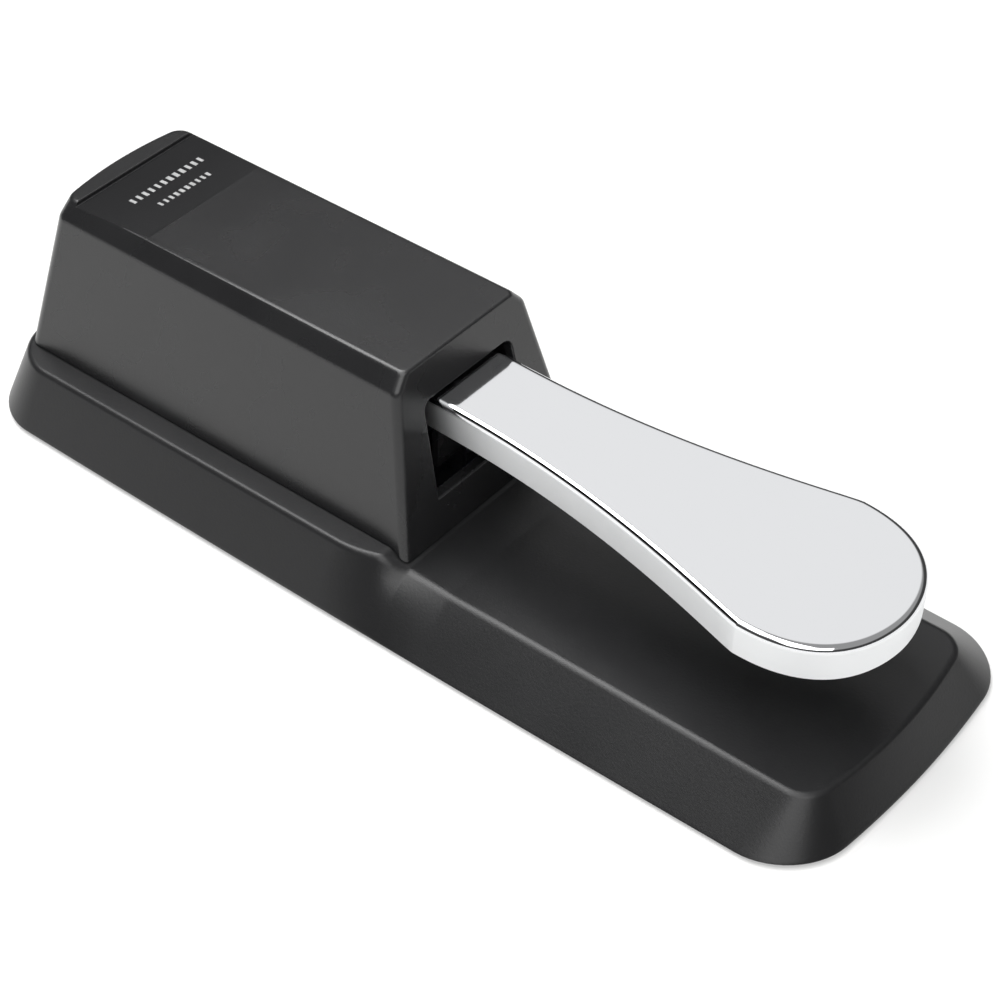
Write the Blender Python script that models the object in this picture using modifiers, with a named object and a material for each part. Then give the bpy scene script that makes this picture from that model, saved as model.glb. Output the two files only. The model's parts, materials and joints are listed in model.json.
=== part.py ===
# Sustain pedal for a keyboard: a chrome lever on a hinge pin inside a moulded housing,
# held up by a coil spring and working a small snap switch.
# Frame: metres, +Z up, the toe of the lever points to -Y, the cable outlet to +Y.
# The origin is the centre of the footprint, at the underside of the rubber mat.
# Run with: blender --background --python part.py

import math

import bmesh
import bpy
from mathutils import Matrix, Vector

MM = 0.001
GAP = 0.3 * MM              # left between faces that touch on the real pedal
RUNNING = 0.1 * MM          # radial play of the hinge pin in its bushes
BORE_PLAY = 0.25 * MM       # radial play around screw shanks
ROUND_STEPS = 16            # sides of a small boss or hole
SCREW_STEPS = 12
SPARE = 5.0 * MM            # cutters reach this far past what they cut
PIN_STEPS = 24

# Base moulding
RIM_Z = 1.0 * MM            # the moulding's lower rim above the floor
RIM_CORNER = 15.2 * MM
RIM_END_BOW = 3.4 * MM
RIM_SIDE_BOW = 0.9 * MM
DECK_Z = 11.2 * MM          # flat front deck under the lever
RAMP_Z = 12.2 * MM          # deck where it meets the housing's front wall
RAMP_LENGTH = 12 * MM
LEDGE_Z = 15.2 * MM         # ledge around the housing
LEDGE_WIDTH = 5.8 * MM
LEDGE_RISE_LENGTH = 6.5 * MM
LEDGE_CORNER = 10.9 * MM
PINCH_LENGTH = 17.5 * MM    # how far back the ledge draws in to the housing's front corner
PINCH_AHEAD = 1.3 * MM      # the pinch's front end, ahead of the housing's front wall
STATION_END = 20.0 * MM     # first and last points along the side, from the ends
DECK_INSET = 5.6 * MM       # the deck's edge inside the ledge's edge
DECK_CORNER = 5.3 * MM
EDGE_CHAMFER = 0.9 * MM
FLANK_RUN = 7.65 * MM       # rim outside the ledge's edge
FRONT_FLANK_RUN = 6.4 * MM
REAR_FLANK_RUN = 3.6 * MM
TOE_MARGIN = 8.6 * MM       # rim ahead of the lever's toe
REAR_MARGIN = 7.6 * MM      # rim behind the housing's foot
BASE_WALL = 2.5 * MM
BASE_FOOT_WIDTH = 7.5 * MM  # solid rim around the plate's recess

# Bottom plate and mat
MAT_THICKNESS = 2.0 * MM
PLATE_THICKNESS = 1.5 * MM
MAT_EDGE_GAP = 0.4 * MM

# Lever, in its own frame: origin on the hinge axis, toe towards -Y
PIVOT_Z = 42.7 * MM
PIVOT_FROM_REAR = 21.3 * MM
REST_TILT = math.radians(2.0)
PRESS_ANGLE = math.radians(5.0)
TOE_REACH = 105.2 * MM      # toe ahead of the housing's front wall at its foot
NECK_WIDTH = 22.2 * MM
SPOON_WIDTH = 46.4 * MM
TOE_LENGTH = 25.0 * MM      # tip ahead of the widest line
SPOON_LENGTH = 80.4 * MM    # widest line ahead of the parallel neck
NECK_HANDLE = 43.0 * MM
SPOON_HANDLE = 3.3 * MM
LEVER_TAIL = 8.0 * MM       # behind the hinge axis
LEVER_HEIGHT = 8.6 * MM
LEVER_ABOVE_AXIS = 4.6 * MM
LEVER_WALL = 2.0 * MM
LEVER_TOP_WALL = 1.8 * MM
LEVER_EDGE = 0.9 * MM
EAR_RADIUS = 7.5 * MM
EAR_PROUD = 0.2 * MM        # of the side wall, inside and out

# Hinge
PIN_RADIUS = 2.5 * MM
BUSH_WALL = 1.1 * MM
BUSH_FLANGE = 0.8 * MM
BUSH_FLANGE_RADIUS = 5.4 * MM
BRACKET_SHEET = 1.6 * MM
BRACKET_HEAD_RADIUS = 7.0 * MM
BRACKET_LENGTH = 26.0 * MM
BRACKET_CHEEK_FOOT = 9.0 * MM   # full length of the cheeks up to this height
BRACKET_SCREW_INSIDE = 1.4 * MM  # screw head's edge from the cheek
BRACKET_SCREW_END = 4.5 * MM
CLIP_THICKNESS = 0.8 * MM
CLIP_RADIUS = 5.0 * MM
PIN_END = 1.0 * MM

# Housing
ROOF_ROOM = 5.0 * MM        # above the lever's top at the hinge
HOUSING_WALL = 2.5 * MM
SIDE_ROOM = 4.4 * MM        # between the hinge pin's end and the housing's side
SHOULDER_DROP = 3.9 * MM
SHOULDER_RUN = 3.5 * MM
SIDE_DRAFT = 0.197
END_DRAFT = 0.2
SHOULDER_LENGTH = 103.8 * MM
HOUSING_REAR_BOW = 1.8 * MM
FRONT_CORNER = 2.0 * MM
REAR_CORNER = 2.8 * MM
SLOT_SIDE_ROOM = 3.4 * MM
SLOT_TOP_ROOM = 0.9 * MM
SLOT_FLOOR_ROOM = 5.6 * MM  # under the fully pressed lever
SLOT_CORNER = 2.5 * MM
SLOT_SPREAD = 1.0 * MM      # the slot is this much wider, each side, at its foot
SLOT_DEPTH = 11.0 * MM      # how far behind the wall's foot the slot is cut
PANEL_LENGTH = 22.3 * MM    # sloping thumb panel at the rear of the roof
PANEL_LIP = 5.2 * MM
PANEL_DEPTH = 0.9 * MM
PANEL_CLEAR = 0.02 * MM     # the wedge starts this far over the roof, to cut no sliver
POST_RADIUS = 3.4 * MM
POST_HEIGHT = 16.0 * MM
POST_END = 3.0 * MM         # solid end of the post over its screw hole
COVER_SCREW_LENGTH = 14.0 * MM

# Opening in the base under the housing
WELL_MARGIN = 0.6 * MM      # around the hinge pin's ends
WELL_FRONT = 3.0 * MM       # behind the housing's front wall
WELL_REAR = 8.0 * MM        # ahead of the housing's rear wall
WELL_CORNER = 2.0 * MM

# Screws: shank radius, head radius, head height
SELF_TAPPER = (1.35 * MM, 2.8 * MM, 1.5 * MM)
MACHINE_SCREW = (1.45 * MM, 2.7 * MM, 1.7 * MM)
SWITCH_SCREW = (0.95 * MM, 1.7 * MM, 1.2 * MM)
PLATE_SCREW_EDGE = 12.4 * MM
PLATE_SCREW_END = 22.0 * MM
PLATE_SCREW_REAR_END = 16.0 * MM
PLATE_SCREW_MIDDLE = 13.0 * MM  # behind the housing's front wall
PLATE_SCREW_FRONT_INSET = 4.0 * MM
PLATE_SCREW_REAR_INSET = 3.0 * MM
COVER_SCREW_FRONT = 24.0 * MM   # behind the housing's front wall
COVER_SCREW_REAR = 22.0 * MM    # ahead of the housing's rear wall
COVER_POST_INSET = 1.0 * MM     # between the post and the housing's wall
BOSS_RADIUS = 3.6 * MM

# Spring and its seats
SPRING_AHEAD = 44.0 * MM    # of the hinge axis
SPRING_RADIUS = 6.0 * MM
SPRING_WIRE = 0.7 * MM
SPRING_TURNS = 8
SEAT_RADIUS = 8.0 * MM
SEAT_THICKNESS = 2.0 * MM
SEAT_SPIGOT_RADIUS = 4.5 * MM
SEAT_SPIGOT = 6.0 * MM
SPIGOT_TAPER = 0.85
SEAT_PEG_RADIUS = 2.0 * MM
CAP_RADIUS = 7.6 * MM

# Stops
STOP_AHEAD = 70.0 * MM      # of the hinge axis
STOP_LENGTH = 9.0 * MM
STOP_PAD = 3.5 * MM
STOP_SHEET = 1.5 * MM
STOP_FOOT = 7.5 * MM
TOP_PAD_BEHIND = 18.0 * MM  # behind the housing's front wall
TOP_PAD_LENGTH = 9.0 * MM
TOP_PAD = 2.8 * MM
TOP_PAD_WIDTH = 18.0 * MM
SHIELD_SHEET = 1.6 * MM
SHIELD_WIDTH = 15.0 * MM
SHIELD_HEIGHT = 14.5 * MM
SHIELD_BEHIND = 8.6 * MM    # behind the housing's front wall
SHIELD_FOOT = 6.0 * MM

# Snap switch
SWITCH_LENGTH = 19.8 * MM
SWITCH_WIDTH = 6.4 * MM
SWITCH_HEIGHT = 10.2 * MM
SWITCH_HOLES = 9.5 * MM
PLUNGER_AHEAD = 16.0 * MM   # of the hinge axis
PLUNGER_LENGTH = 2.8 * MM
PLUNGER_WIDTH = 1.8 * MM
PLUNGER_PROUD = 2.2 * MM
PLUNGER_DEPTH = 4.0 * MM
STRIKER_LENGTH = 9.0 * MM
STRIKER_NOSE = 3.0 * MM
STRIKER_DROP = 1.6 * MM     # nose below the lever's underside
STRIKER_RAISE = 2.0 * MM    # body above the lever's underside
TERMINAL = (3.0 * MM, 0.6 * MM, 6.6 * MM)
TERMINAL_POCKET = 2.0 * MM
SWITCH_SHEET = 1.5 * MM
SWITCH_FOOT = 12.0 * MM
SWITCH_FOOT_SCREW = 4.0 * MM    # from the foot's edge
SWITCH_FOOT_SPACING = 8.5 * MM
SWITCH_FOOT_SHIFT = 1.25 * MM   # the foot's screws sit ahead of the switch's middle
SWITCH_EDGE_PLUNGER = 5.4 * MM  # plunger from the case's front end
SWITCH_EDGE_HOLES = 2.6 * MM    # above the case's foot
SWITCH_EDGE_TERMINAL = 2.6 * MM  # from the case's ends
SWITCH_SHEET_INSET = 1.5 * MM   # the plate is this much shorter than the case, each end

# Cable outlet
GROMMET_BORE = 3.2 * MM
GROMMET_NECK = 4.8 * MM
GROMMET_FLANGE = 7.0 * MM
GROMMET_INNER = 6.3 * MM
GROMMET_LIP = 1.6 * MM
OUTLET_BOSS = 8.6 * MM
OUTLET_BOSS_STAND = 0.3 * MM    # of its upright face, past the sloping wall
OUTLET_ABOVE_LEDGE = 11.0 * MM

# ---- worked out from the sizes above ----
NECK_HALF = NECK_WIDTH / 2
SPOON_HALF = SPOON_WIDTH / 2
PLATE_BOTTOM = MAT_THICKNESS + GAP
PLATE_TOP = PLATE_BOTTOM + PLATE_THICKNESS
FLOOR_Z = PLATE_TOP + GAP
BUSH_FACE = NECK_HALF + EAR_PROUD + GAP + BUSH_FLANGE
BRACKET_INNER = BUSH_FACE + GAP
BRACKET_OUTER = BRACKET_INNER + BRACKET_SHEET
PIN_HALF = BRACKET_OUTER + GAP + CLIP_THICKNESS + PIN_END
LEVER_TOP_Z = PIVOT_Z + LEVER_ABOVE_AXIS
HOUSING_TOP = LEVER_TOP_Z + ROOF_ROOM + HOUSING_WALL
SHOULDER_Z = HOUSING_TOP - SHOULDER_DROP
PIN_LINE_HALF = PIN_HALF + SIDE_ROOM + HOUSING_WALL
SHOULDER_HALF = PIN_LINE_HALF - SIDE_DRAFT * (SHOULDER_Z - PIVOT_Z)
FOOT_HALF = SHOULDER_HALF + SIDE_DRAFT * (SHOULDER_Z - LEDGE_Z)
LEDGE_HALF = FOOT_HALF + LEDGE_WIDTH
DECK_HALF = LEDGE_HALF - DECK_INSET
RIM_HALF = LEDGE_HALF + FLANK_RUN
FRONT_DRAFT_RUN = END_DRAFT * (SHOULDER_Z - RAMP_Z)
REAR_DRAFT_RUN = END_DRAFT * (SHOULDER_Z - LEDGE_Z)
FOOT_LENGTH = SHOULDER_LENGTH + FRONT_DRAFT_RUN + REAR_DRAFT_RUN
BASE_LENGTH = TOE_MARGIN + TOE_REACH + FOOT_LENGTH + REAR_MARGIN
RIM_FRONT = -BASE_LENGTH / 2
RIM_REAR = BASE_LENGTH / 2
TOE_Y = RIM_FRONT + TOE_MARGIN
FOOT_FRONT = TOE_Y + TOE_REACH
SHOULDER_FRONT = FOOT_FRONT + FRONT_DRAFT_RUN
SHOULDER_REAR = SHOULDER_FRONT + SHOULDER_LENGTH
FOOT_REAR = SHOULDER_REAR + REAR_DRAFT_RUN
DECK_FRONT = RIM_FRONT + FRONT_FLANK_RUN
LEDGE_REAR = RIM_REAR - REAR_FLANK_RUN
PINCH_Y = FOOT_FRONT - PINCH_AHEAD
PIVOT = Vector((0, SHOULDER_REAR - PIVOT_FROM_REAR, PIVOT_Z))
TOE_LOCAL = (TOE_Y - PIVOT.y) / math.cos(REST_TILT)
PARTS_NAME = "sustain_pedal"


# ---- scene and materials ----

def clear_scene():
    for obj in list(bpy.data.objects):
        bpy.data.objects.remove(obj, do_unlink=True)


def new_collection(name):
    group = bpy.data.collections.new(name)
    bpy.context.scene.collection.children.link(group)
    return group


def principled(name, colour, roughness, metallic=0.0):
    mat = bpy.data.materials.new(name)
    mat.use_nodes = True
    shader = mat.node_tree.nodes["Principled BSDF"]
    shader.inputs["Base Color"].default_value = (*colour, 1)
    shader.inputs["Roughness"].default_value = roughness
    shader.inputs["Metallic"].default_value = metallic
    mat.diffuse_color = (*colour, 1)
    return mat


clear_scene()
parts = new_collection(PARTS_NAME)
cutters = new_collection("cutters")
BLACK_ABS = principled("black_abs", (0.022, 0.022, 0.023), 0.42)
RUBBER = principled("rubber", (0.018, 0.018, 0.018), 0.85)
CHROME = principled("chrome", (0.86, 0.87, 0.88), 0.05, 1)
ZINC = principled("zinc_steel", (0.55, 0.56, 0.58), 0.35, 1)
SPRING_STEEL = principled("spring_steel", (0.42, 0.42, 0.43), 0.3, 1)
NYLON = principled("white_nylon", (0.72, 0.71, 0.66), 0.5)
FELT = principled("grey_felt", (0.12, 0.12, 0.13), 0.95)
SWITCH_PLASTIC = principled("switch_case", (0.03, 0.03, 0.035), 0.5)
PLUNGER_RED = principled("plunger", (0.45, 0.05, 0.03), 0.45)
BRASS = principled("brass", (0.7, 0.52, 0.24), 0.3, 1)


# ---- shape helpers ----

def add_object(name, mesh, mat=None):
    """A named part when it has a material, otherwise a hidden cutter."""
    obj = bpy.data.objects.new(name, mesh)
    if mat:
        mesh.materials.append(mat)
        parts.objects.link(obj)
    else:
        obj.hide_render = True
        obj.display_type = "WIRE"
        cutters.objects.link(obj)
    return obj


def mesh_from(name, build):
    """A mesh made by build(bm), with doubles merged and its faces pointing out."""
    bm = bmesh.new()
    build(bm)
    bmesh.ops.remove_doubles(bm, verts=bm.verts, dist=1e-6)
    bmesh.ops.recalc_face_normals(bm, faces=bm.faces)
    mesh = bpy.data.meshes.new(name)
    bm.to_mesh(mesh)
    bm.free()
    return mesh


def smooth(obj, degrees=35):
    obj.data.shade_smooth()
    obj.data.set_sharp_from_angle(angle=math.radians(degrees))
    return obj


def box(name, low, high, mat=None):
    low, high = Vector(low), Vector(high)

    def build(bm):
        size = high - low
        matrix = Matrix.Translation((low + high) / 2) @ Matrix.Diagonal((*size, 1))
        bmesh.ops.create_cube(bm, size=1, matrix=matrix)

    return add_object(name, mesh_from(name, build), mat)


def rod(name, radius, start, end, mat=None, steps=ROUND_STEPS):
    """A cylinder between two points."""
    start, end = Vector(start), Vector(end)

    def build(bm):
        turn = (end - start).to_track_quat("Z", "Y").to_matrix().to_4x4()
        matrix = Matrix.Translation((start + end) / 2) @ turn
        bmesh.ops.create_cone(bm, cap_ends=True, segments=steps, radius1=radius, radius2=radius,
                              depth=(end - start).length, matrix=matrix)

    return smooth(add_object(name, mesh_from(name, build), mat))


def turned(name, profile, mat=None, steps=ROUND_STEPS):
    """A turned solid about Z: profile is (radius, z) pairs, outer side top to bottom."""
    bm = bmesh.new()
    verts = [bm.verts.new((radius, 0, z)) for radius, z in profile]
    for first, second in zip(verts, verts[1:]):
        bm.edges.new((first, second))
    if profile[0][0] > 1e-7:
        bm.edges.new((verts[-1], verts[0]))
    mesh = bpy.data.meshes.new(name)
    bm.to_mesh(mesh)
    bm.free()
    obj = add_object(name, mesh, mat)
    screw = obj.modifiers.new("turn", "SCREW")
    screw.steps = steps
    screw.render_steps = steps
    screw.use_merge_vertices = True
    screw.merge_threshold = 1e-6
    return obj


def outline_solid(name, points, low, high, mat=None):
    """A flat outline in X and Y, filled and extruded between two heights."""
    curve = bpy.data.curves.new(name, "CURVE")
    curve.dimensions = "2D"
    curve.fill_mode = "BOTH"
    curve.extrude = (high - low) / 2
    spline = curve.splines.new("POLY")
    spline.points.add(len(points) - 1)
    for point, (x, y) in zip(spline.points, points):
        point.co = (x, y, 0, 1)
    spline.use_cyclic_u = True
    flat = bpy.data.objects.new(name + "_curve", curve)
    flat.location.z = (low + high) / 2
    cutters.objects.link(flat)
    bpy.context.view_layer.update()
    evaluated = flat.evaluated_get(bpy.context.evaluated_depsgraph_get())
    mesh = bpy.data.meshes.new_from_object(evaluated)
    mesh.transform(flat.matrix_world)
    mesh.materials.clear()
    bpy.data.objects.remove(flat)
    bm = bmesh.new()
    bm.from_mesh(mesh)
    bmesh.ops.remove_doubles(bm, verts=bm.verts, dist=1e-6)
    bmesh.ops.recalc_face_normals(bm, faces=bm.faces)
    bm.to_mesh(mesh)
    bm.free()
    return add_object(name, mesh, mat)


def loft(name, rings, mat=None):
    """A closed solid through rings of points that all have the same count."""
    def build(bm):
        rows = [[bm.verts.new(point) for point in ring] for ring in rings]
        count = len(rows[0])
        for lower, upper in zip(rows, rows[1:]):
            for i in range(count):
                j = (i + 1) % count
                bm.faces.new((lower[i], lower[j], upper[j], upper[i]))
        for row in (rows[0], rows[-1]):
            cap_across(bm, row)

    return add_object(name, mesh_from(name, build), mat)


def cap_across(bm, row):
    """Close a ring that is its own mirror image in X with strips running across it."""
    half = len(row) // 2
    for i in range(half - 1):
        left, right = row[i:i + 2], (row[-1 - i], row[-2 - i])
        bm.faces.new((left[0], left[1], right[1], right[0]))
    if len(row) % 2:
        bm.faces.new(row[half - 1:half + 2])


def along_x(obj):
    """Stand an outline's X and Y up in Y and Z, so that it was extruded along X."""
    turn = Matrix(((0, 0, 1, 0), (1, 0, 0, 0), (0, 1, 0, 0), (0, 0, 0, 1)))
    obj.data.transform(turn)
    return obj


def along_y(obj):
    """Stand an outline's X and Y up in X and Z, so that it was extruded along Y."""
    turn = Matrix(((1, 0, 0, 0), (0, 0, -1, 0), (0, 1, 0, 0), (0, 0, 0, 1)))
    obj.data.transform(turn)
    return obj


def combine(target, other, operation):
    boolean = target.modifiers.new(other.name, "BOOLEAN")
    boolean.operation = operation
    boolean.solver = "EXACT"
    boolean.object = other


def cut(target, *others):
    for other in others:
        combine(target, other, "DIFFERENCE")


def join(target, *others):
    for other in others:
        combine(target, other, "UNION")


def arc(centre, radius, start, end, steps):
    """Points on a circle, angles in degrees, both ends included."""
    angles = [math.radians(start + (end - start) * i / steps) for i in range(steps + 1)]
    return [(centre[0] + radius * math.cos(a), centre[1] + radius * math.sin(a)) for a in angles]


def rounded_rectangle(low, high, radius, steps=3):
    x0, y0 = low[0] + radius, low[1] + radius
    x1, y1 = high[0] - radius, high[1] - radius
    return (arc((x1, y1), radius, 0, 90, steps) + arc((x0, y1), radius, 90, 180, steps)
            + arc((x0, y0), radius, 180, 270, steps) + arc((x1, y0), radius, 270, 360, steps))


def bezier(p0, p1, p2, p3, steps):
    points = []
    for i in range(steps + 1):
        t = i / steps
        weights = ((1 - t) ** 3, 3 * t * (1 - t) ** 2, 3 * t * t * (1 - t), t ** 3)
        points.append(tuple(sum(w * p[k] for w, p in zip(weights, (p0, p1, p2, p3)))
                            for k in (0, 1)))
    return points


def hang_on(parent, *children):
    """Parent the children to an empty without moving them in its own frame."""
    for child in children:
        child.parent = parent


def screw(name, kind, head_underside, shank_length, direction=(0, 0, 1), at=(0, 0), mat=ZINC):
    """A pan-head screw: its shank runs along direction from the head's underside."""
    shank, head, height = kind
    profile = [(0, shank_length), (shank * 0.8, shank_length), (shank, shank_length - shank),
               (shank, 0), (head, 0), (head, -height * 0.55), (head * 0.78, -height), (0, -height)]
    obj = turned(name, profile, mat, SCREW_STEPS)
    turn = Vector((0, 0, 1)).rotation_difference(Vector(direction))
    obj.rotation_mode = "QUATERNION"
    obj.rotation_quaternion = turn
    obj.location = (at[0], at[1], head_underside)
    return obj


# ---- base moulding ----

def deck_half_width(y):
    """Half the width at the flank's top edge: it draws in to the housing's front corner."""
    if y <= PINCH_Y:
        return DECK_HALF
    if y >= PINCH_Y + PINCH_LENGTH:
        return LEDGE_HALF
    back = (PINCH_Y + PINCH_LENGTH - y) / PINCH_LENGTH
    return DECK_HALF + DECK_INSET * (1 - back * back)


def deck_height(y):
    """Height of the base's top: flat deck, short ramp, then up to the ledge."""
    ledge_start = PINCH_Y + LEDGE_RISE_LENGTH
    if y >= ledge_start:
        return LEDGE_Z
    if y >= PINCH_Y:
        t = (y - PINCH_Y) / LEDGE_RISE_LENGTH
        return RAMP_Z + (LEDGE_Z - RAMP_Z) * t * t * (3 - 2 * t)
    if y >= PINCH_Y - RAMP_LENGTH:
        return RAMP_Z - (RAMP_Z - DECK_Z) * (PINCH_Y - y) / RAMP_LENGTH
    return DECK_Z


def side_stations():
    """Places along the side where the edge changes its course."""
    pinch = [PINCH_Y + PINCH_LENGTH * (1 - math.cos(math.radians(a))) for a in range(0, 91, 15)]
    ahead = [DECK_FRONT + STATION_END, (DECK_FRONT + PINCH_Y) / 2, PINCH_Y - RAMP_LENGTH]
    behind = [(PINCH_Y + LEDGE_REAR) / 2, LEDGE_REAR - STATION_END]
    return ahead + pinch + behind


def base_ring(half, front, rear, front_corner, rear_corner, height, bow, end_bow, side_bow):
    """One closed outline of the base, rear centre first, down the -X side and back."""
    ends = 4
    left = []
    half_rear, half_front = half(rear), half(front)
    for i in range(ends):
        x = -(half_rear - rear_corner) * (i + 0.5) / ends
        left.append((x, rear))
    left += arc((-half_rear + rear_corner, rear - rear_corner), rear_corner, 90, 180, 5)
    left += [(-half(y), y) for y in reversed(side_stations())]
    left += arc((-half_front + front_corner, front + front_corner), front_corner, 180, 270, 5)
    for i in reversed(range(ends)):
        x = -(half_front - front_corner) * (i + 0.5) / ends
        left.append((x, front))
    centre, reach = (front + rear) / 2, (rear - front) / 2
    ring = []
    for x, y in left:
        z = height(y)
        across, along = x / half_front, (y - centre) / reach
        if bow:
            x += side_bow * along * along
            y -= math.copysign(end_bow * across * across, along) * abs(along)
        ring.append((x, y, z))
    return ring + [(-x, y, z) for x, y, z in reversed(ring)]


def rim_ring(inset, z):
    return base_ring(lambda y: RIM_HALF - inset, RIM_FRONT + inset, RIM_REAR - inset,
                     RIM_CORNER - inset * 0.8, RIM_CORNER - inset * 0.8, lambda y: z,
                     True, RIM_END_BOW, RIM_SIDE_BOW)


def deck_ring(inset, drop):
    return base_ring(lambda y: deck_half_width(y) - inset, DECK_FRONT + inset, LEDGE_REAR - inset,
                     DECK_CORNER - min(inset, DECK_CORNER / 2), LEDGE_CORNER - inset,
                     lambda y: deck_height(y) - drop, True, RIM_END_BOW, 0)


def plate_outline(inset):
    """Outline of the plate's recess, drawn in by inset."""
    ring = rim_ring(BASE_FOOT_WIDTH + inset, 0)
    return [(x, y) for x, y, z in ring]


def plate_screw_places():
    """X, Y and the height of the deck's underside over each plate screw."""
    x = RIM_HALF - PLATE_SCREW_EDGE
    rows = ((RIM_FRONT + PLATE_SCREW_END, x - PLATE_SCREW_FRONT_INSET),
            (FOOT_FRONT + PLATE_SCREW_MIDDLE, x),
            (RIM_REAR - PLATE_SCREW_REAR_END, x - PLATE_SCREW_REAR_INSET))
    return [(side * across, y, deck_height(y)) for y, across in rows for side in (-1, 1)]


def cover_screw_places():
    """X and Y of the screws that hold the housing on the base."""
    x = FOOT_HALF - HOUSING_WALL - POST_RADIUS - COVER_POST_INSET
    rows = (FOOT_FRONT + COVER_SCREW_FRONT, FOOT_REAR - COVER_SCREW_REAR)
    return [(side * x, y) for y in rows for side in (-1, 1)]


def make_base_shell():
    outside = [rim_ring(0, RIM_Z), deck_ring(-EDGE_CHAMFER / 3, EDGE_CHAMFER), deck_ring(EDGE_CHAMFER, 0)]
    shell = loft("base_shell", outside, BLACK_ABS)
    foot = BASE_FOOT_WIDTH
    inside = [rim_ring(foot, -RIM_Z), rim_ring(foot, FLOOR_Z), deck_ring(BASE_WALL, BASE_WALL)]
    hollow = loft("base_hollow", inside)
    well_half = PIN_HALF + WELL_MARGIN
    well = outline_solid("mechanism_well",
                         rounded_rectangle((-well_half, FOOT_FRONT + WELL_FRONT),
                                           (well_half, FOOT_REAR - WELL_REAR), WELL_CORNER),
                         FLOOR_Z, LEDGE_Z + BASE_WALL)
    cut(shell, hollow)
    for i, (x, y, top) in enumerate(plate_screw_places(), 1):
        join(shell, rod(f"plate_boss_{i}", BOSS_RADIUS, (x, y, FLOOR_Z),
                        (x, y, top - BASE_WALL / 2)))
    cut(shell, well)
    hole = SELF_TAPPER[0] + BORE_PLAY
    for i, (x, y, top) in enumerate(plate_screw_places(), 1):
        cut(shell, rod(f"plate_boss_hole_{i}", hole, (x, y, 0), (x, y, top - BASE_WALL / 2)))
    for i, (x, y) in enumerate(cover_screw_places(), 1):
        cut(shell, rod(f"cover_hole_{i}", hole, (x, y, 0), (x, y, LEDGE_Z + BASE_WALL)))
    return shell


def make_bottom():
    plate = outline_solid("bottom_plate", plate_outline(MAT_EDGE_GAP), PLATE_BOTTOM, PLATE_TOP, ZINC)
    mat = outline_solid("rubber_mat", plate_outline(MAT_EDGE_GAP), 0, MAT_THICKNESS, RUBBER)
    hole = SELF_TAPPER[0] + BORE_PLAY
    head = SELF_TAPPER[1] + 2 * GAP
    for i, (x, y, top) in enumerate(plate_screw_places(), 1):
        cut(plate, rod(f"plate_hole_{i}", hole, (x, y, 0), (x, y, FLOOR_Z)))
        cut(mat, rod(f"mat_hole_{i}", head, (x, y, -RIM_Z), (x, y, PLATE_BOTTOM)))
        length = top - BASE_WALL / 2 - GAP - MAT_THICKNESS
        screw(f"plate_screw_{i}", SELF_TAPPER, MAT_THICKNESS, length, at=(x, y))
    for i, (x, y) in enumerate(screw_seats(), 1):
        cut(plate, rod(f"tapped_hole_{i}", MACHINE_SCREW[0] + BORE_PLAY, (x, y, 0), (x, y, FLOOR_Z)))
    peg_y = PIVOT.y - SPRING_AHEAD
    cut(plate, rod("peg_hole", SEAT_PEG_RADIUS + GAP, (0, peg_y, 0), (0, peg_y, FLOOR_Z)))


# ---- housing ----

def housing_half(z):
    return SHOULDER_HALF + SIDE_DRAFT * (SHOULDER_Z - z)


def housing_front(z):
    return SHOULDER_FRONT - END_DRAFT * (SHOULDER_Z - z)


def housing_rear(z):
    return SHOULDER_REAR + END_DRAFT * (SHOULDER_Z - z)


def housing_ring(z, inset=0.0, half=None):
    """One outline of the housing at height z, rear centre first, as base_ring's are."""
    half = (half or housing_half(z)) - inset
    front, rear = housing_front(z) + inset, housing_rear(z) - inset
    rear_corner, front_corner = REAR_CORNER - inset * 0.8, max(FRONT_CORNER - inset, 0.4 * MM)
    left = [(-(half - rear_corner) * (i + 0.5) / 3, rear) for i in range(3)]
    left += arc((-half + rear_corner, rear - rear_corner), rear_corner, 90, 180, 4)
    left += arc((-half + front_corner, front + front_corner), front_corner, 180, 270, 3)
    bowed = []
    for x, y in left:
        if y > (front + rear) / 2:
            y += HOUSING_REAR_BOW * (0.5 - (x / half) ** 2)
        bowed.append((x, y, z))
    return bowed + [(-x, y, z) for x, y, z in reversed(bowed)]


def housing_solid(name, inset, foot, mat=None):
    top = HOUSING_TOP - inset
    shoulder = SHOULDER_Z - inset * 0.4
    rings = [housing_ring(foot, inset), housing_ring(shoulder, inset),
             housing_ring(top, inset, housing_half(SHOULDER_Z) - SHOULDER_RUN + inset * 0.3)]
    return loft(name, rings, mat)


def deck_clearance():
    """The space the base takes, so that the housing's lower edge follows the deck."""
    low, near, far = -RIM_HALF, PINCH_Y - RIM_HALF, LEDGE_REAR + RIM_HALF
    ys = [near] + [y for y in side_stations() if near < y <= PINCH_Y + PINCH_LENGTH] + [far]
    top = [(y, deck_height(y) + GAP) for y in ys]
    solid = outline_solid("deck_clearance", [(far, low), (near, low)] + top, -2 * RIM_HALF, 2 * RIM_HALF)
    return along_x(solid)


def make_slot():
    """The slot in the front wall: rounded at its top, a little wider at its foot."""
    top = lever_top_at(SHOULDER_FRONT) + SLOT_TOP_ROOM
    foot = slot_foot()
    half_top, half_foot = NECK_HALF + SLOT_SIDE_ROOM, NECK_HALF + SLOT_SIDE_ROOM + SLOT_SPREAD
    r = SLOT_CORNER
    points = [(half_foot, foot), (half_top, top - r)] + arc((half_top - r, top - r), r, 0, 90, 3)[1:]
    points += [(-x, z) for x, z in reversed(points)]
    return along_y(outline_solid("slot", points, -FOOT_FRONT - SLOT_DEPTH, -FOOT_FRONT + SPARE))


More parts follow.
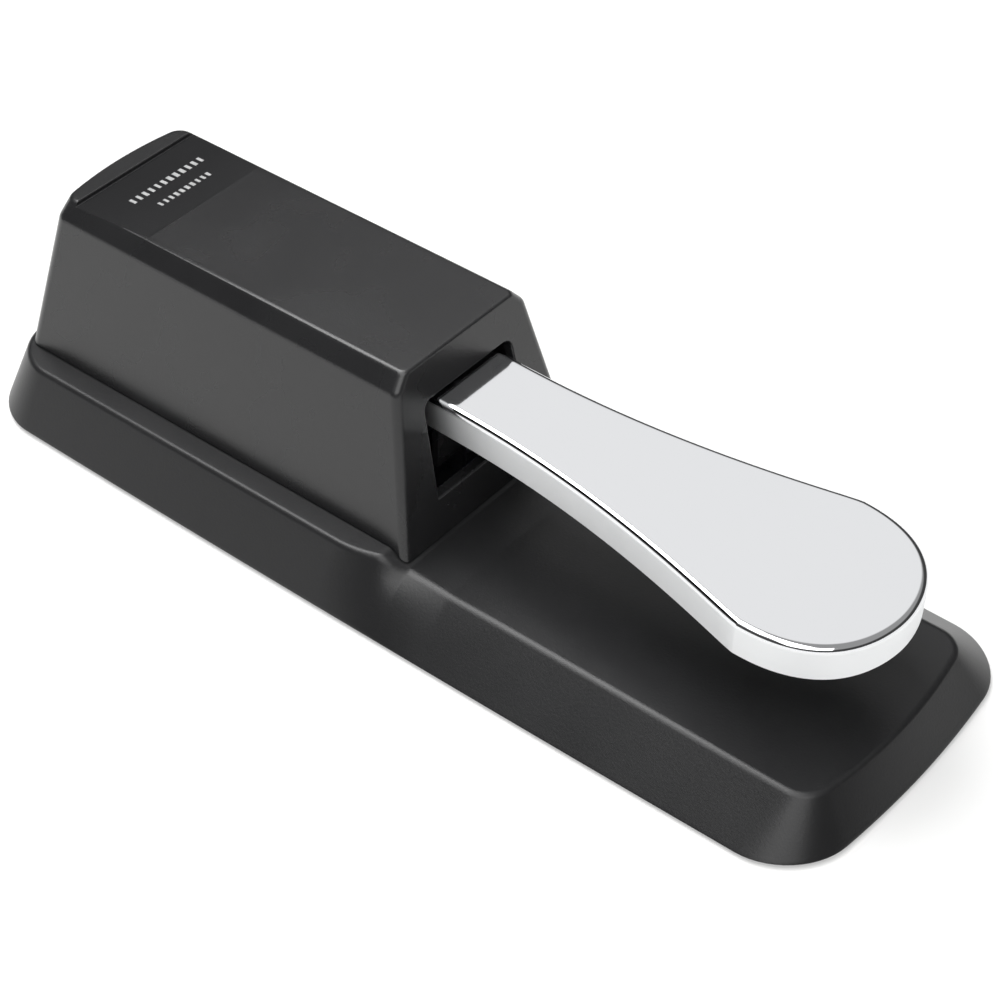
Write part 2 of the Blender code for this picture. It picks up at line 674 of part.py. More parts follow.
def slot_foot():
    """The fully pressed lever's underside at the slot, less the room under it."""
    arm = PIVOT.y - FOOT_FRONT
    underside = PIVOT_Z - (LEVER_HEIGHT - LEVER_ABOVE_AXIS)
    return underside - arm * math.tan(REST_TILT + PRESS_ANGLE) - SLOT_FLOOR_ROOM


def make_panel_cutter():
    """A wedge that sinks the rear of the roof to a thumb panel, with a step at its lip."""
    rear = SHOULDER_REAR - PANEL_LIP
    front = rear - PANEL_LENGTH
    above = HOUSING_TOP + SPARE
    points = [(front, HOUSING_TOP + PANEL_CLEAR), (rear, HOUSING_TOP - PANEL_DEPTH), (rear, above),
              (front, above)]
    return along_x(outline_solid("panel_cut", points, -RIM_HALF, RIM_HALF))


def outlet_faces():
    """Outer and inner upright faces of the boss around the cable outlet, and its height."""
    z = LEDGE_Z + OUTLET_ABOVE_LEDGE
    wall = housing_rear(z) + HOUSING_REAR_BOW / 2
    slope = END_DRAFT * OUTLET_BOSS + OUTLET_BOSS_STAND
    return wall + slope, wall - HOUSING_WALL - slope, z


def make_housing():
    cover = housing_solid("housing_cover", 0, DECK_Z - BASE_WALL, BLACK_ABS)
    inner = housing_solid("housing_hollow", HOUSING_WALL, DECK_Z - 2 * BASE_WALL)
    cut(cover, inner)
    for i, (x, y) in enumerate(cover_screw_places(), 1):
        join(cover, rod(f"cover_post_{i}", POST_RADIUS, (x, y, LEDGE_Z - GAP),
                        (x, y, LEDGE_Z + POST_HEIGHT)))
    face, back, out_z = outlet_faces()
    join(cover, rod("outlet_boss", OUTLET_BOSS, (0, back, out_z), (0, face, out_z), steps=PIN_STEPS))
    join(cover, make_stop_rib())
    cut(cover, deck_clearance(), make_slot(), make_panel_cutter())
    cut(cover, rod("outlet_hole", GROMMET_NECK + GAP, (0, back - SPARE, out_z),
                   (0, face + SPARE, out_z), steps=PIN_STEPS))
    hole = SELF_TAPPER[0] + BORE_PLAY
    for i, (x, y) in enumerate(cover_screw_places(), 1):
        cut(cover, rod(f"post_hole_{i}", hole, (x, y, 0), (x, y, LEDGE_Z + POST_HEIGHT - POST_END)))
        under = LEDGE_Z - BASE_WALL - GAP
        screw(f"cover_screw_{i}", SELF_TAPPER, under, COVER_SCREW_LENGTH, at=(x, y))
    return cover


def lever_top_at(y):
    return LEVER_TOP_Z - (PIVOT.y - y) * math.tan(REST_TILT)


def top_pad_frame():
    """Middle of the upper stop pad's underside, just over the resting lever."""
    y = FOOT_FRONT + TOP_PAD_BEHIND
    return Vector((0, y, lever_top_at(y) + GAP))


def make_stop_rib():
    seat = top_pad_frame()
    low = seat.z + TOP_PAD + GAP + math.tan(REST_TILT) * TOP_PAD_LENGTH / 2
    half = TOP_PAD_WIDTH / 2
    return box("stop_rib", (-half, seat.y - TOP_PAD_LENGTH / 2, low),
               (half, seat.y + TOP_PAD_LENGTH / 2, HOUSING_TOP - HOUSING_WALL / 2))


def make_upper_pad():
    half = TOP_PAD_WIDTH / 2
    pad = box("upper_stop_pad", (-half, -TOP_PAD_LENGTH / 2, 0), (half, TOP_PAD_LENGTH / 2, TOP_PAD), FELT)
    pad.location = top_pad_frame()
    pad.rotation_euler.x = REST_TILT


def make_grommet():
    face, back, out_z = outlet_faces()
    inner = back - GAP
    length = face + GAP - inner
    profile = [(GROMMET_BORE, length + GROMMET_LIP), (GROMMET_FLANGE * 0.8, length + GROMMET_LIP),
               (GROMMET_FLANGE, length + GROMMET_LIP * 0.5), (GROMMET_FLANGE, length),
               (GROMMET_NECK, length), (GROMMET_NECK, 0), (GROMMET_INNER, 0),
               (GROMMET_INNER, -GROMMET_LIP * 0.5), (GROMMET_INNER * 0.8, -GROMMET_LIP),
               (GROMMET_BORE, -GROMMET_LIP)]
    grommet = turned("cable_grommet", profile, RUBBER, steps=PIN_STEPS)
    grommet.rotation_euler.x = -math.pi / 2
    grommet.location = (0, inner, out_z)


# ---- lever and what rides on it, in the lever's own frame ----

def lever_outline(inset, tail):
    """Half outline by straight neck, flare and toe, then its mirror image."""
    neck, spoon = NECK_HALF - inset, SPOON_HALF - inset
    tip = TOE_LOCAL + inset
    widest = TOE_LOCAL + TOE_LENGTH
    flare = widest + SPOON_LENGTH
    half = [(neck, tail)]
    half += bezier((neck, flare), (neck, flare - NECK_HANDLE), (spoon, widest + SPOON_HANDLE),
                   (spoon, widest), 12)
    drop = (widest - tip)
    half += bezier((spoon, widest), (spoon, widest - drop * 0.91), (spoon * 0.23, tip), (0, tip), 9)[1:]
    return half + [(-x, y) for x, y in reversed(half[:-1])]


def make_lever(carrier):
    top, bottom = LEVER_ABOVE_AXIS, LEVER_ABOVE_AXIS - LEVER_HEIGHT
    edge = LEVER_EDGE
    steps = ((0, bottom), (0, top - edge), (edge * 0.3, top - edge * 0.3), (edge, top))
    rings = [[(x, y, z) for x, y in lever_outline(inset, LEVER_TAIL - inset)] for inset, z in steps]
    lever = loft("pedal_lever", rings, CHROME)
    hollow = outline_solid("lever_hollow", lever_outline(LEVER_WALL, 2 * LEVER_TAIL),
                           bottom - LEVER_HEIGHT, top - LEVER_TOP_WALL)
    ears = [make_ear(side) for side in (-1, 1)]
    bore = rod("lever_bore", PIN_RADIUS + RUNNING + BUSH_WALL + RUNNING, (-NECK_WIDTH, 0, 0),
               (NECK_WIDTH, 0, 0), steps=PIN_STEPS)
    cut(lever, hollow)
    join(lever, *ears)
    cut(lever, bore)
    hang_on(carrier, lever, hollow, *ears, bore)


def make_ear(side):
    """A lug that deepens the lever's side wall around the hinge pin."""
    outline = arc((0, 0), EAR_RADIUS, 180, 360, 12)
    outline += [(EAR_RADIUS, LEVER_ABOVE_AXIS / 2), (-EAR_RADIUS, LEVER_ABOVE_AXIS / 2)]
    low, high = sorted((side * (NECK_HALF - LEVER_WALL - EAR_PROUD), side * (NECK_HALF + EAR_PROUD)))
    return along_x(outline_solid(f"lever_ear_{low > 0:d}", outline, low, high))


def make_bushes(carrier):
    inner, outer = PIN_RADIUS + RUNNING, PIN_RADIUS + RUNNING + BUSH_WALL
    length = LEVER_WALL + 2 * EAR_PROUD + GAP
    profile = [(inner, BUSH_FLANGE), (BUSH_FLANGE_RADIUS, BUSH_FLANGE), (BUSH_FLANGE_RADIUS, 0),
               (outer, 0), (outer, -length), (inner, -length)]
    for side, word in ((-1, "left"), (1, "right")):
        bush = turned(f"bush_{word}", profile, NYLON, steps=PIN_STEPS)
        bush.rotation_euler.y = side * math.pi / 2
        bush.location.x = side * (NECK_HALF + EAR_PROUD + GAP)
        hang_on(carrier, bush)


def make_lever_fittings(carrier):
    ceiling = LEVER_ABOVE_AXIS - LEVER_TOP_WALL - GAP
    underside = LEVER_ABOVE_AXIS - LEVER_HEIGHT
    channel = NECK_HALF - LEVER_WALL - GAP
    near, far = -PLUNGER_AHEAD + STRIKER_LENGTH / 2, -PLUNGER_AHEAD - STRIKER_LENGTH / 2
    striker = box("switch_striker", (-channel, far, underside + STRIKER_RAISE), (channel, near, ceiling),
                  NYLON)
    nose = box("striker_nose", (-STRIKER_NOSE, -PLUNGER_AHEAD - STRIKER_NOSE / 2, underside - STRIKER_DROP),
               (STRIKER_NOSE, -PLUNGER_AHEAD + STRIKER_NOSE / 2, ceiling - MM))
    join(striker, nose)
    cap = turned("spring_cap", [(0, ceiling), (CAP_RADIUS, ceiling), (CAP_RADIUS, cap_face()),
                                (SEAT_SPIGOT_RADIUS, cap_face()),
                                (SEAT_SPIGOT_RADIUS * SPIGOT_TAPER, cap_face() - SEAT_SPIGOT),
                                (0, cap_face() - SEAT_SPIGOT)], NYLON)
    cap.location.y = -SPRING_AHEAD
    shield = make_shield(channel, ceiling, underside)
    hang_on(carrier, striker, nose, cap, *shield)


def cap_face():
    """Height of the spring's upper seat above the hinge axis, in the lever's frame."""
    return LEVER_ABOVE_AXIS - LEVER_TOP_WALL - GAP - SEAT_THICKNESS


def make_shield(channel, ceiling, underside):
    """A plate under the lever that closes the slot behind the front wall."""
    front = FOOT_FRONT + SHIELD_BEHIND - PIVOT.y
    back = front + SHIELD_SHEET
    plate = box("lever_shield", (-SHIELD_WIDTH / 2, front, underside - SHIELD_HEIGHT),
                (SHIELD_WIDTH / 2, back, ceiling), BLACK_ABS)
    foot = box("shield_foot", (-channel, front, ceiling - SHIELD_SHEET),
               (channel, back + SHIELD_FOOT, ceiling))
    join(plate, foot)
    return plate, foot


# ---- hinge bracket, pin and clips ----

def bracket_screw_places():
    x = BRACKET_INNER - MACHINE_SCREW[1] - BRACKET_SCREW_INSIDE
    reach = BRACKET_LENGTH / 2 - BRACKET_SCREW_END
    return [(side * x, y) for y in (PIVOT.y - reach, PIVOT.y + reach) for side in (-1, 1)]


def make_bracket():
    """A steel channel whose cheeks narrow to round heads around the hinge pin."""
    half, base, top = BRACKET_LENGTH / 2, FLOOR_Z, PIVOT_Z + BRACKET_HEAD_RADIUS + SPARE
    floor = base + BRACKET_SHEET
    right = [(BRACKET_OUTER, base), (BRACKET_OUTER, top), (BRACKET_INNER, top), (BRACKET_INNER, floor)]
    channel = right + [(-x, z) for x, z in reversed(right)]
    bracket = along_y(outline_solid("pivot_bracket", channel, -PIVOT.y - half, -PIVOT.y + half, ZINC))
    shoulder, far = base + BRACKET_CHEEK_FOOT, top + SPARE
    above = [(-half - SPARE, shoulder), (-half, shoulder)]
    above += arc((0, PIVOT_Z), BRACKET_HEAD_RADIUS, 180, 0, 12)
    above += [(half, shoulder), (half + SPARE, shoulder), (half + SPARE, far), (-half - SPARE, far)]
    above = [(PIVOT.y + y, z) for y, z in above]
    reach = BRACKET_OUTER + SPARE
    cut(bracket, along_x(outline_solid("cheek_profile", above, -reach, reach)))
    cut(bracket, rod("pin_hole", PIN_RADIUS + RUNNING, (-2 * PIN_HALF, PIVOT.y, PIVOT_Z),
                     (2 * PIN_HALF, PIVOT.y, PIVOT_Z), steps=PIN_STEPS))
    for i, (x, y) in enumerate(bracket_screw_places(), 1):
        cut(bracket, rod(f"bracket_hole_{i}", MACHINE_SCREW[0] + BORE_PLAY, (x, y, 0),
                         (x, y, base + 2 * BRACKET_SHEET)))
        floor_screw(f"bracket_screw_{i}", (x, y), BRACKET_SHEET)


def floor_screw(name, at, sheet):
    """A screw driven down through a sheet into the bottom plate's tapped hole."""
    under = FLOOR_Z + sheet + GAP
    screw(name, MACHINE_SCREW, under, under - PLATE_BOTTOM, (0, 0, -1), at)


def make_pin():
    chamfer = 0.5 * MM
    groove = CLIP_THICKNESS + 2 * RUNNING
    near = BRACKET_OUTER + GAP - RUNNING
    waist = PIN_RADIUS * 0.76
    half = [(0, PIN_HALF), (PIN_RADIUS - chamfer, PIN_HALF), (PIN_RADIUS, PIN_HALF - chamfer),
            (PIN_RADIUS, near + groove), (waist, near + groove), (waist, near), (PIN_RADIUS, near)]
    profile = half + [(r, -z) for r, z in reversed(half)]
    pin = turned("pivot_pin", profile, SPRING_STEEL, steps=PIN_STEPS)
    pin.rotation_euler.y = math.pi / 2
    pin.location = PIVOT
    for side, word in ((-1, "left"), (1, "right")):
        low = BRACKET_OUTER + GAP
        inner = waist + RUNNING
        mouth = inner * 0.72
        start = math.degrees(math.asin(mouth / inner))
        outer_start = math.degrees(math.asin(mouth / CLIP_RADIUS))
        ring = arc((0, 0), CLIP_RADIUS, -90 + outer_start, 270 - outer_start, 18)
        ring += arc((0, 0), inner, 270 - start, -90 + start, 14)
        outline = [(PIVOT.y + y, PIVOT_Z + z) for y, z in ring]
        ends = sorted((side * low, side * (low + CLIP_THICKNESS)))
        along_x(outline_solid(f"pin_clip_{word}", outline, *ends, SPRING_STEEL))


# ---- spring, its seat and the lower stop ----

def lever_to_world(y, z):
    turn = Matrix.Rotation(REST_TILT, 3, "X")
    return PIVOT + turn @ Vector((0, y, z))


def make_spring():
    y = PIVOT.y - SPRING_AHEAD
    bottom = FLOOR_Z + SEAT_THICKNESS + GAP
    tilt_room = SPRING_RADIUS * math.tan(REST_TILT)
    top = lever_to_world(-SPRING_AHEAD, cap_face()).z - GAP - tilt_room
    low, high = bottom + SPRING_WIRE, top - SPRING_WIRE
    closed = 2.3 * SPRING_WIRE
    per_turn = 12
    count = SPRING_TURNS * per_turn
    curve = bpy.data.curves.new("return_spring", "CURVE")
    curve.dimensions = "3D"
    curve.bevel_depth = SPRING_WIRE
    curve.bevel_resolution = 2
    curve.use_fill_caps = True
    curve.materials.append(SPRING_STEEL)
    spline = curve.splines.new("POLY")
    spline.points.add(count)
    for i, point in enumerate(spline.points):
        turn = i / per_turn
        if turn <= 1:
            z = low + closed * turn
        elif turn >= SPRING_TURNS - 1:
            z = high - closed * (SPRING_TURNS - turn)
        else:
            z = low + closed + (high - low - 2 * closed) * (turn - 1) / (SPRING_TURNS - 2)
        angle = 2 * math.pi * turn
        point.co = (SPRING_RADIUS * math.cos(angle), SPRING_RADIUS * math.sin(angle), z, 1)
    spring = bpy.data.objects.new("return_spring", curve)
    spring.location.y = y
    parts.objects.link(spring)
    seat_top = FLOOR_Z + SEAT_THICKNESS
    tip = seat_top + SEAT_SPIGOT
    seat = turned("spring_seat", [(0, tip), (SEAT_SPIGOT_RADIUS * SPIGOT_TAPER, tip),
                                  (SEAT_SPIGOT_RADIUS, seat_top), (SEAT_RADIUS, seat_top),
                                  (SEAT_RADIUS, FLOOR_Z), (SEAT_PEG_RADIUS, FLOOR_Z),
                                  (SEAT_PEG_RADIUS, PLATE_BOTTOM), (0, PLATE_BOTTOM)], NYLON)
    seat.location.y = y


def lower_pad_frame():
    """Middle of the lower pad's top, just under the fully pressed lever."""
    pressed = REST_TILT + PRESS_ANGLE
    turn = Matrix.Rotation(pressed, 3, "X")
    underside = LEVER_ABOVE_AXIS - LEVER_HEIGHT - GAP
    return PIVOT + turn @ Vector((0, -STOP_AHEAD, underside)), pressed


def stop_screw_places():
    y = lower_pad_frame()[0].y
    x = NECK_HALF + STOP_FOOT / 2
    return [(-x, y), (x, y)]


def stop_bracket_top():
    seat, pressed = lower_pad_frame()
    return seat.z - (STOP_PAD + GAP) / math.cos(pressed) - math.tan(pressed) * STOP_LENGTH / 2


def make_stop():
    """A hat-shaped strip on the floor carries the pad that the lever lands on."""
    seat, pressed = lower_pad_frame()
    top, sheet = stop_bracket_top(), STOP_SHEET
    leg, foot = NECK_HALF - sheet, NECK_HALF + STOP_FOOT
    half = [(foot, FLOOR_Z), (foot, FLOOR_Z + sheet), (leg + sheet, FLOOR_Z + sheet), (leg + sheet, top)]
    inner = [(leg, top - sheet), (leg, FLOOR_Z)]
    outline = half + [(-x, z) for x, z in reversed(half)] + [(-x, z) for x, z in reversed(inner)] + inner
    low = -(seat.y + STOP_LENGTH / 2)
    strip = along_y(outline_solid("stop_bracket", outline, low, low + STOP_LENGTH, ZINC))
    for i, (x, y) in enumerate(stop_screw_places(), 1):
        cut(strip, rod(f"stop_hole_{i}", MACHINE_SCREW[0] + BORE_PLAY, (x, y, 0),
                       (x, y, FLOOR_Z + 2 * sheet)))
        floor_screw(f"stop_screw_{i}", (x, y), sheet)
    pad = box("lower_stop_pad", (-NECK_HALF, -STOP_LENGTH / 2, -STOP_PAD), (NECK_HALF, STOP_LENGTH / 2, 0),
              RUBBER)
    pad.location = seat
    pad.rotation_euler.x = pressed


# ---- snap switch ----

def striker_foot():
    """The striker nose's lowest point at rest."""
    corner = -PLUNGER_AHEAD - STRIKER_NOSE / 2
    return lever_to_world(corner, LEVER_ABOVE_AXIS - LEVER_HEIGHT - STRIKER_DROP).z


def switch_top():
    return striker_foot() - GAP - PLUNGER_PROUD


def plunger_y():
    return PIVOT.y - PLUNGER_AHEAD


def switch_middle():
    return plunger_y() - SWITCH_EDGE_PLUNGER


def switch_screw_places():
    """Y and Z of the two screws through the switch."""
    z = switch_top() - SWITCH_HEIGHT + SWITCH_EDGE_HOLES
    return [(switch_middle() + side * SWITCH_HOLES / 2, z) for side in (-1, 1)]


def switch_foot_screws():
    x = -SWITCH_WIDTH / 2 - GAP - SWITCH_FOOT + SWITCH_FOOT_SCREW
    y = switch_middle() - SWITCH_FOOT_SHIFT
    return [(x, y - SWITCH_FOOT_SPACING / 2), (x, y + SWITCH_FOOT_SPACING / 2)]


def make_switch():
    top, middle = switch_top(), switch_middle()
    half, width = SWITCH_LENGTH / 2, SWITCH_WIDTH / 2
    case = box("switch_case", (-width, middle - half, top - SWITCH_HEIGHT), (width, middle + half, top),
               SWITCH_PLASTIC)
    room = BORE_PLAY
    y = plunger_y()
    p_half, p_width = PLUNGER_LENGTH / 2, PLUNGER_WIDTH / 2
    cut(case, box("plunger_pocket", (-p_width - room, y - p_half - room, top - PLUNGER_DEPTH),
                  (p_width + room, y + p_half + room, top + PLUNGER_DEPTH)))
    travel = PLUNGER_AHEAD * PRESS_ANGLE
    box("switch_plunger", (-p_width, y - p_half, top - PLUNGER_DEPTH + travel + GAP),
        (p_width, y + p_half, top + PLUNGER_PROUD), PLUNGER_RED)
    length, thickness, depth = TERMINAL
    foot = top - SWITCH_HEIGHT
    for i, share in enumerate((-1, 0, 1), 1):
        at = middle + share * (half - SWITCH_EDGE_TERMINAL)
        box(f"switch_terminal_{i}", (-thickness / 2, at - length / 2, foot - depth),
            (thickness / 2, at + length / 2, foot + TERMINAL_POCKET), BRASS)
        cut(case, box(f"terminal_pocket_{i}", (-thickness / 2 - room, at - length / 2 - room, foot - depth),
                      (thickness / 2 + room, at + length / 2 + room, foot + TERMINAL_POCKET + GAP)))
    make_switch_bracket(case)


def make_switch_bracket(case):
    """An L of sheet steel stands on the floor beside the switch."""
    top, middle = switch_top(), switch_middle()
    half, face = SWITCH_LENGTH / 2 - SWITCH_SHEET_INSET, -SWITCH_WIDTH / 2 - GAP
    sheet, base = SWITCH_SHEET, FLOOR_Z
    back = face - sheet
    edge = top - SWITCH_SHEET_INSET
    points = [(face, base), (face, edge), (back, edge), (back, base + sheet),
              (face - SWITCH_FOOT, base + sheet), (face - SWITCH_FOOT, base)]
    angle = along_y(outline_solid("switch_bracket", points, -middle - half, -middle + half, ZINC))
    for i, (x, y) in enumerate(switch_foot_screws(), 1):
        cut(angle, rod(f"switch_foot_hole_{i}", MACHINE_SCREW[0] + BORE_PLAY, (x, y, 0),
                       (x, y, base + 2 * sheet)))
        floor_screw(f"switch_foot_screw_{i}", (x, y), sheet)
    hole = SWITCH_SCREW[0] + BORE_PLAY
    for i, (y, z) in enumerate(switch_screw_places(), 1):
        across = rod(f"switch_hole_{i}", hole, (-SWITCH_FOOT, y, z), (SWITCH_FOOT, y, z), steps=SCREW_STEPS)
        cut(case, across)
        cut(angle, across)
        bolt = screw(f"switch_screw_{i}", SWITCH_SCREW, z, SWITCH_WIDTH + 2 * GAP + sheet, (-1, 0, 0), (0, y))
        bolt.location.x = SWITCH_WIDTH / 2 + GAP


def screw_seats():
    """Tapped holes in the bottom plate for all that stands on it."""
    return bracket_screw_places() + stop_screw_places() + switch_foot_screws()


def main():
    make_base_shell()
    make_bottom()
    make_housing()
    make_upper_pad()
    make_grommet()
    carrier = bpy.data.objects.new("lever_axis", None)
    parts.objects.link(carrier)
    carrier.location = PIVOT
    carrier.rotation_euler.x = REST_TILT
    make_lever(carrier)
    make_bushes(carrier)
    make_lever_fittings(carrier)
    make_bracket()
    make_pin()
    make_spring()
    make_stop()
    make_switch()


main()
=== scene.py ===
import json
import math
import random

import bmesh
import bpy
from mathutils import Matrix, Vector


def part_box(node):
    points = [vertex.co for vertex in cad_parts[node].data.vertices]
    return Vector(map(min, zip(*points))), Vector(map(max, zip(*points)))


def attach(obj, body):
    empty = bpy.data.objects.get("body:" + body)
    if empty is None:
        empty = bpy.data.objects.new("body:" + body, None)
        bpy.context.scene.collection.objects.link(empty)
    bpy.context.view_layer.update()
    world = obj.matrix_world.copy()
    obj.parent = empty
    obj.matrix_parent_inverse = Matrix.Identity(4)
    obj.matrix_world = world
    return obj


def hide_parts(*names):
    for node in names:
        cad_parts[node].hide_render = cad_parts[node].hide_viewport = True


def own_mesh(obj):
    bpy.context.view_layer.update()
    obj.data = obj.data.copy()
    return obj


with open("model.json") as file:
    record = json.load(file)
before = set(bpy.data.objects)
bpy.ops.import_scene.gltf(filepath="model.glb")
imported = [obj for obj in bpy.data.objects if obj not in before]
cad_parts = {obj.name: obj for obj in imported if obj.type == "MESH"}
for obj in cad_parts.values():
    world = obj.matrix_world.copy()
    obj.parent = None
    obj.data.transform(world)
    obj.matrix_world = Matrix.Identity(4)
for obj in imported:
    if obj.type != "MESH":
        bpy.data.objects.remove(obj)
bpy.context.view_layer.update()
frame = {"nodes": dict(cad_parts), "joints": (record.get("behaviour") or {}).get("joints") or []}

mm = 0.001
gap = 0.3 * mm                   # left between pieces that touch on the real pedal
pivot = Vector(frame["joints"][0]["pos_m"])    # the lever's hinge axis
restTilt = math.radians(2)
pressAngle = math.radians(5)


# tools

def hexColour(code):    # an sRGB hex value as the linear colour a shader takes
    parts = [int(code[i:i + 2], 16) / 255 for i in (1, 3, 5)]
    return (*[c / 12.92 if c <= 0.04045 else ((c + 0.055) / 1.055) ** 2.4 for c in parts], 1)


def addNode(tree, kind, inputs=None, **settings):    # a node with its settings, values and links
    node = tree.nodes.new(kind)
    for key, value in settings.items():
        setattr(node, key, value)
    for key, value in (inputs or {}).items():
        if isinstance(value, bpy.types.NodeSocket):
            tree.links.new(value, node.inputs[key])
        else:
            node.inputs[key].default_value = value
    return node


def startMaterial(name, values):    # values go on the Principled shader's own sockets
    material = bpy.data.materials.new(name)
    material.use_nodes = True
    tree = material.node_tree
    shader = tree.nodes["Principled BSDF"]
    for key, value in values.items():
        shader.inputs[key].default_value = value
    place = addNode(tree, "ShaderNodeTexCoord").outputs["Object"]
    return material, tree, shader, place


def startTree(name, sizes):    # a Geometry Nodes tree whose inputs are its geometry, sizes and material
    tree = bpy.data.node_groups.new(name, "GeometryNodeTree")
    for label, kind in {"Geometry": "Geometry", **sizes, "Material": "Material"}.items():
        tree.interface.new_socket(label, in_out="INPUT", socket_type="NodeSocket" + kind)
    tree.interface.new_socket("Geometry", in_out="OUTPUT", socket_type="NodeSocketGeometry")
    return tree, addNode(tree, "NodeGroupInput").outputs


def closeTree(tree, shape, material):    # ends in real geometry with its material set
    real = addNode(tree, "GeometryNodeRealizeInstances", {"Geometry": shape})
    coated = addNode(tree, "GeometryNodeSetMaterial", {
        "Geometry": real.outputs[0], "Material": material})
    addNode(tree, "NodeGroupOutput", {"Geometry": coated.outputs[0]})
    return tree


def arc(centre, radius, start, end, steps):    # points on a circle, angles in degrees
    turns = [math.radians(start + (end - start) * i / steps) for i in range(steps + 1)]
    return [(centre[0] + radius * math.cos(t), centre[1] + radius * math.sin(t)) for t in turns]


def bezier(a, b, c, d, steps):
    points = []
    for i in range(steps + 1):
        t = i / steps
        w = ((1 - t) ** 3, 3 * t * (1 - t) ** 2, 3 * t * t * (1 - t), t ** 3)
        points.append(tuple(sum(k * p[n] for k, p in zip(w, (a, b, c, d))) for n in (0, 1)))
    return points


def mirrored(half):    # a left half as a whole outline
    return half + [(-p[0], *p[1:]) for p in reversed(half)]


def roundBetween(first, corner, last, steps):    # rows that round the sharp corner row off
    rows = []
    for k in range(steps + 1):
        t = k / steps
        rows.append([Vector(a) * (1 - t) ** 2 + Vector(b) * 2 * t * (1 - t) + Vector(c) * t * t
                     for a, b, c in zip(first, corner, last)])
    return rows


def towards(row, other, distance):    # each point of a row moved so many mm to its partner
    return [Vector(a) + (Vector(b) - Vector(a)).normalized() * distance * mm for a, b in zip(row, other)]


def newObject(name, mesh, material=None):
    obj = bpy.data.objects.new(name, mesh)
    if material:
        mesh.materials.append(material)
    bpy.context.scene.collection.objects.link(obj)
    return obj


def meshOf(name, bm):    # doubles merged first, then normals out
    bmesh.ops.remove_doubles(bm, verts=bm.verts, dist=1e-6)
    bmesh.ops.recalc_face_normals(bm, faces=bm.faces)
    mesh = bpy.data.meshes.new(name)
    bm.to_mesh(mesh)
    bm.free()
    return mesh


def capAcross(bm, row):    # closes a left-right symmetric ring with strips
    half = len(row) // 2
    for i in range(half - 1):
        bm.faces.new((row[i], row[i + 1], row[-2 - i], row[-1 - i]))
    if len(row) % 2:
        bm.faces.new(row[half - 1:half + 2])


def loft(name, rows, material=None):    # a closed skin over rows with the same point count
    bm = bmesh.new()
    rings = [[bm.verts.new(p) for p in row] for row in rows]
    count = len(rings[0])
    for lower, upper in zip(rings, rings[1:]):
        for i in range(count):
            j = (i + 1) % count
            bm.faces.new((lower[i], lower[j], upper[j], upper[i]))
    capAcross(bm, rings[0])
    capAcross(bm, rings[-1])
    return newObject(name, meshOf(name, bm), material)


def turned(name, profile, steps, place, material=None):    # a closed (radius, height) profile spun round Z
    bm = bmesh.new()
    rings = []
    for k in range(steps):
        t = 2 * math.pi * k / steps
        rings.append([bm.verts.new((r * math.cos(t), r * math.sin(t), z)) for r, z in profile])
    for k in range(steps):
        near, far = rings[k], rings[(k + 1) % steps]
        for i in range(len(profile)):
            j = (i + 1) % len(profile)
            if max(profile[i][0], profile[j][0]) > 1e-7:
                bm.faces.new((near[i], near[j], far[j], far[i]))
    bmesh.ops.transform(bm, matrix=place, verts=bm.verts)
    return newObject(name, meshOf(name, bm), material)


def prism(name, outline, low, high, toPlace):    # an outline pushed through between two depths
    bm = bmesh.new()
    ends = [[bm.verts.new(toPlace(a, b, d)) for a, b in outline] for d in (low, high)]
    for i in range(len(outline)):
        j = (i + 1) % len(outline)
        bm.faces.new((ends[0][i], ends[0][j], ends[1][j], ends[1][i]))
    for end in ends:
        bm.faces.new(end)
    return newObject(name, meshOf(name, bm))


def asPlainMesh(obj):    # the evaluated shape becomes the object's own mesh
    bpy.context.view_layer.update()
    graph = bpy.context.evaluated_depsgraph_get()
    mesh = bpy.data.meshes.new_from_object(obj.evaluated_get(graph), preserve_all_data_layers=True,
                                           depsgraph=graph)
    obj.modifiers.clear()
    obj.data = mesh
    return obj


def combine(obj, operation, others):    # Boolean with each of the others, which then go
    for other in others:
        step = obj.modifiers.new(other.name, "BOOLEAN")
        step.operation, step.object = operation, other
    asPlainMesh(obj)
    for other in others:
        bpy.data.objects.remove(other)
    return obj


def settle(obj, sharpest=32):    # smooth shading that keeps flats flat and corners crisp
    obj.data.shade_smooth()
    obj.data.set_sharp_from_angle(angle=math.radians(sharpest))
    flats = obj.modifiers.new("flats", "WEIGHTED_NORMAL")
    flats.keep_sharp = True
    return asPlainMesh(obj)


def markBends(obj):    # attribute "bend": 0 on flats, 1 on tight rounded edges
    bm = bmesh.new()
    bm.from_mesh(obj.data)
    bends = []
    for vert in bm.verts:
        tightest = 0
        for edge in vert.link_edges:
            if len(edge.link_faces) == 2:
                a, b = edge.link_faces
                width = (a.calc_area() + b.calc_area()) / 2 / max(edge.calc_length(), 1e-6)
                tightest = max(tightest, edge.calc_face_angle(0) * mm / max(width, 0.1 * mm))
        bends.append(min(1, tightest))
    bm.free()
    layer = obj.data.attributes.new("bend", "FLOAT", "POINT")
    layer.data.foreach_set("value", bends)
    return obj


def finishPiece(obj, body, nodes=()):
    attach(obj, body)
    if nodes:
        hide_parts(*nodes)
    return obj


def across(a, b, d):    # outline in Y and Z, depth along X
    return (d, a, b)


def along(a, b, d):     # outline in X and Z, depth along Y
    return (a, d, b)


def upright(a, b, d):   # outline in X and Y, depth along Z
    return (a, b, d)


# materials

plasticLook = {
    "coverColour": "#202021", "baseColour": "#1f1f20", "wearColour": "#2f2f30",
    "grain": 0.6,         # mm, the mould's spark grain, drawn four times the usual 0.15 mm to show
    "grainDepth": 0.03,   # mm
    "coverRoughness": 0.27, "baseRoughness": 0.35, "panelRoughness": 0.2,
}


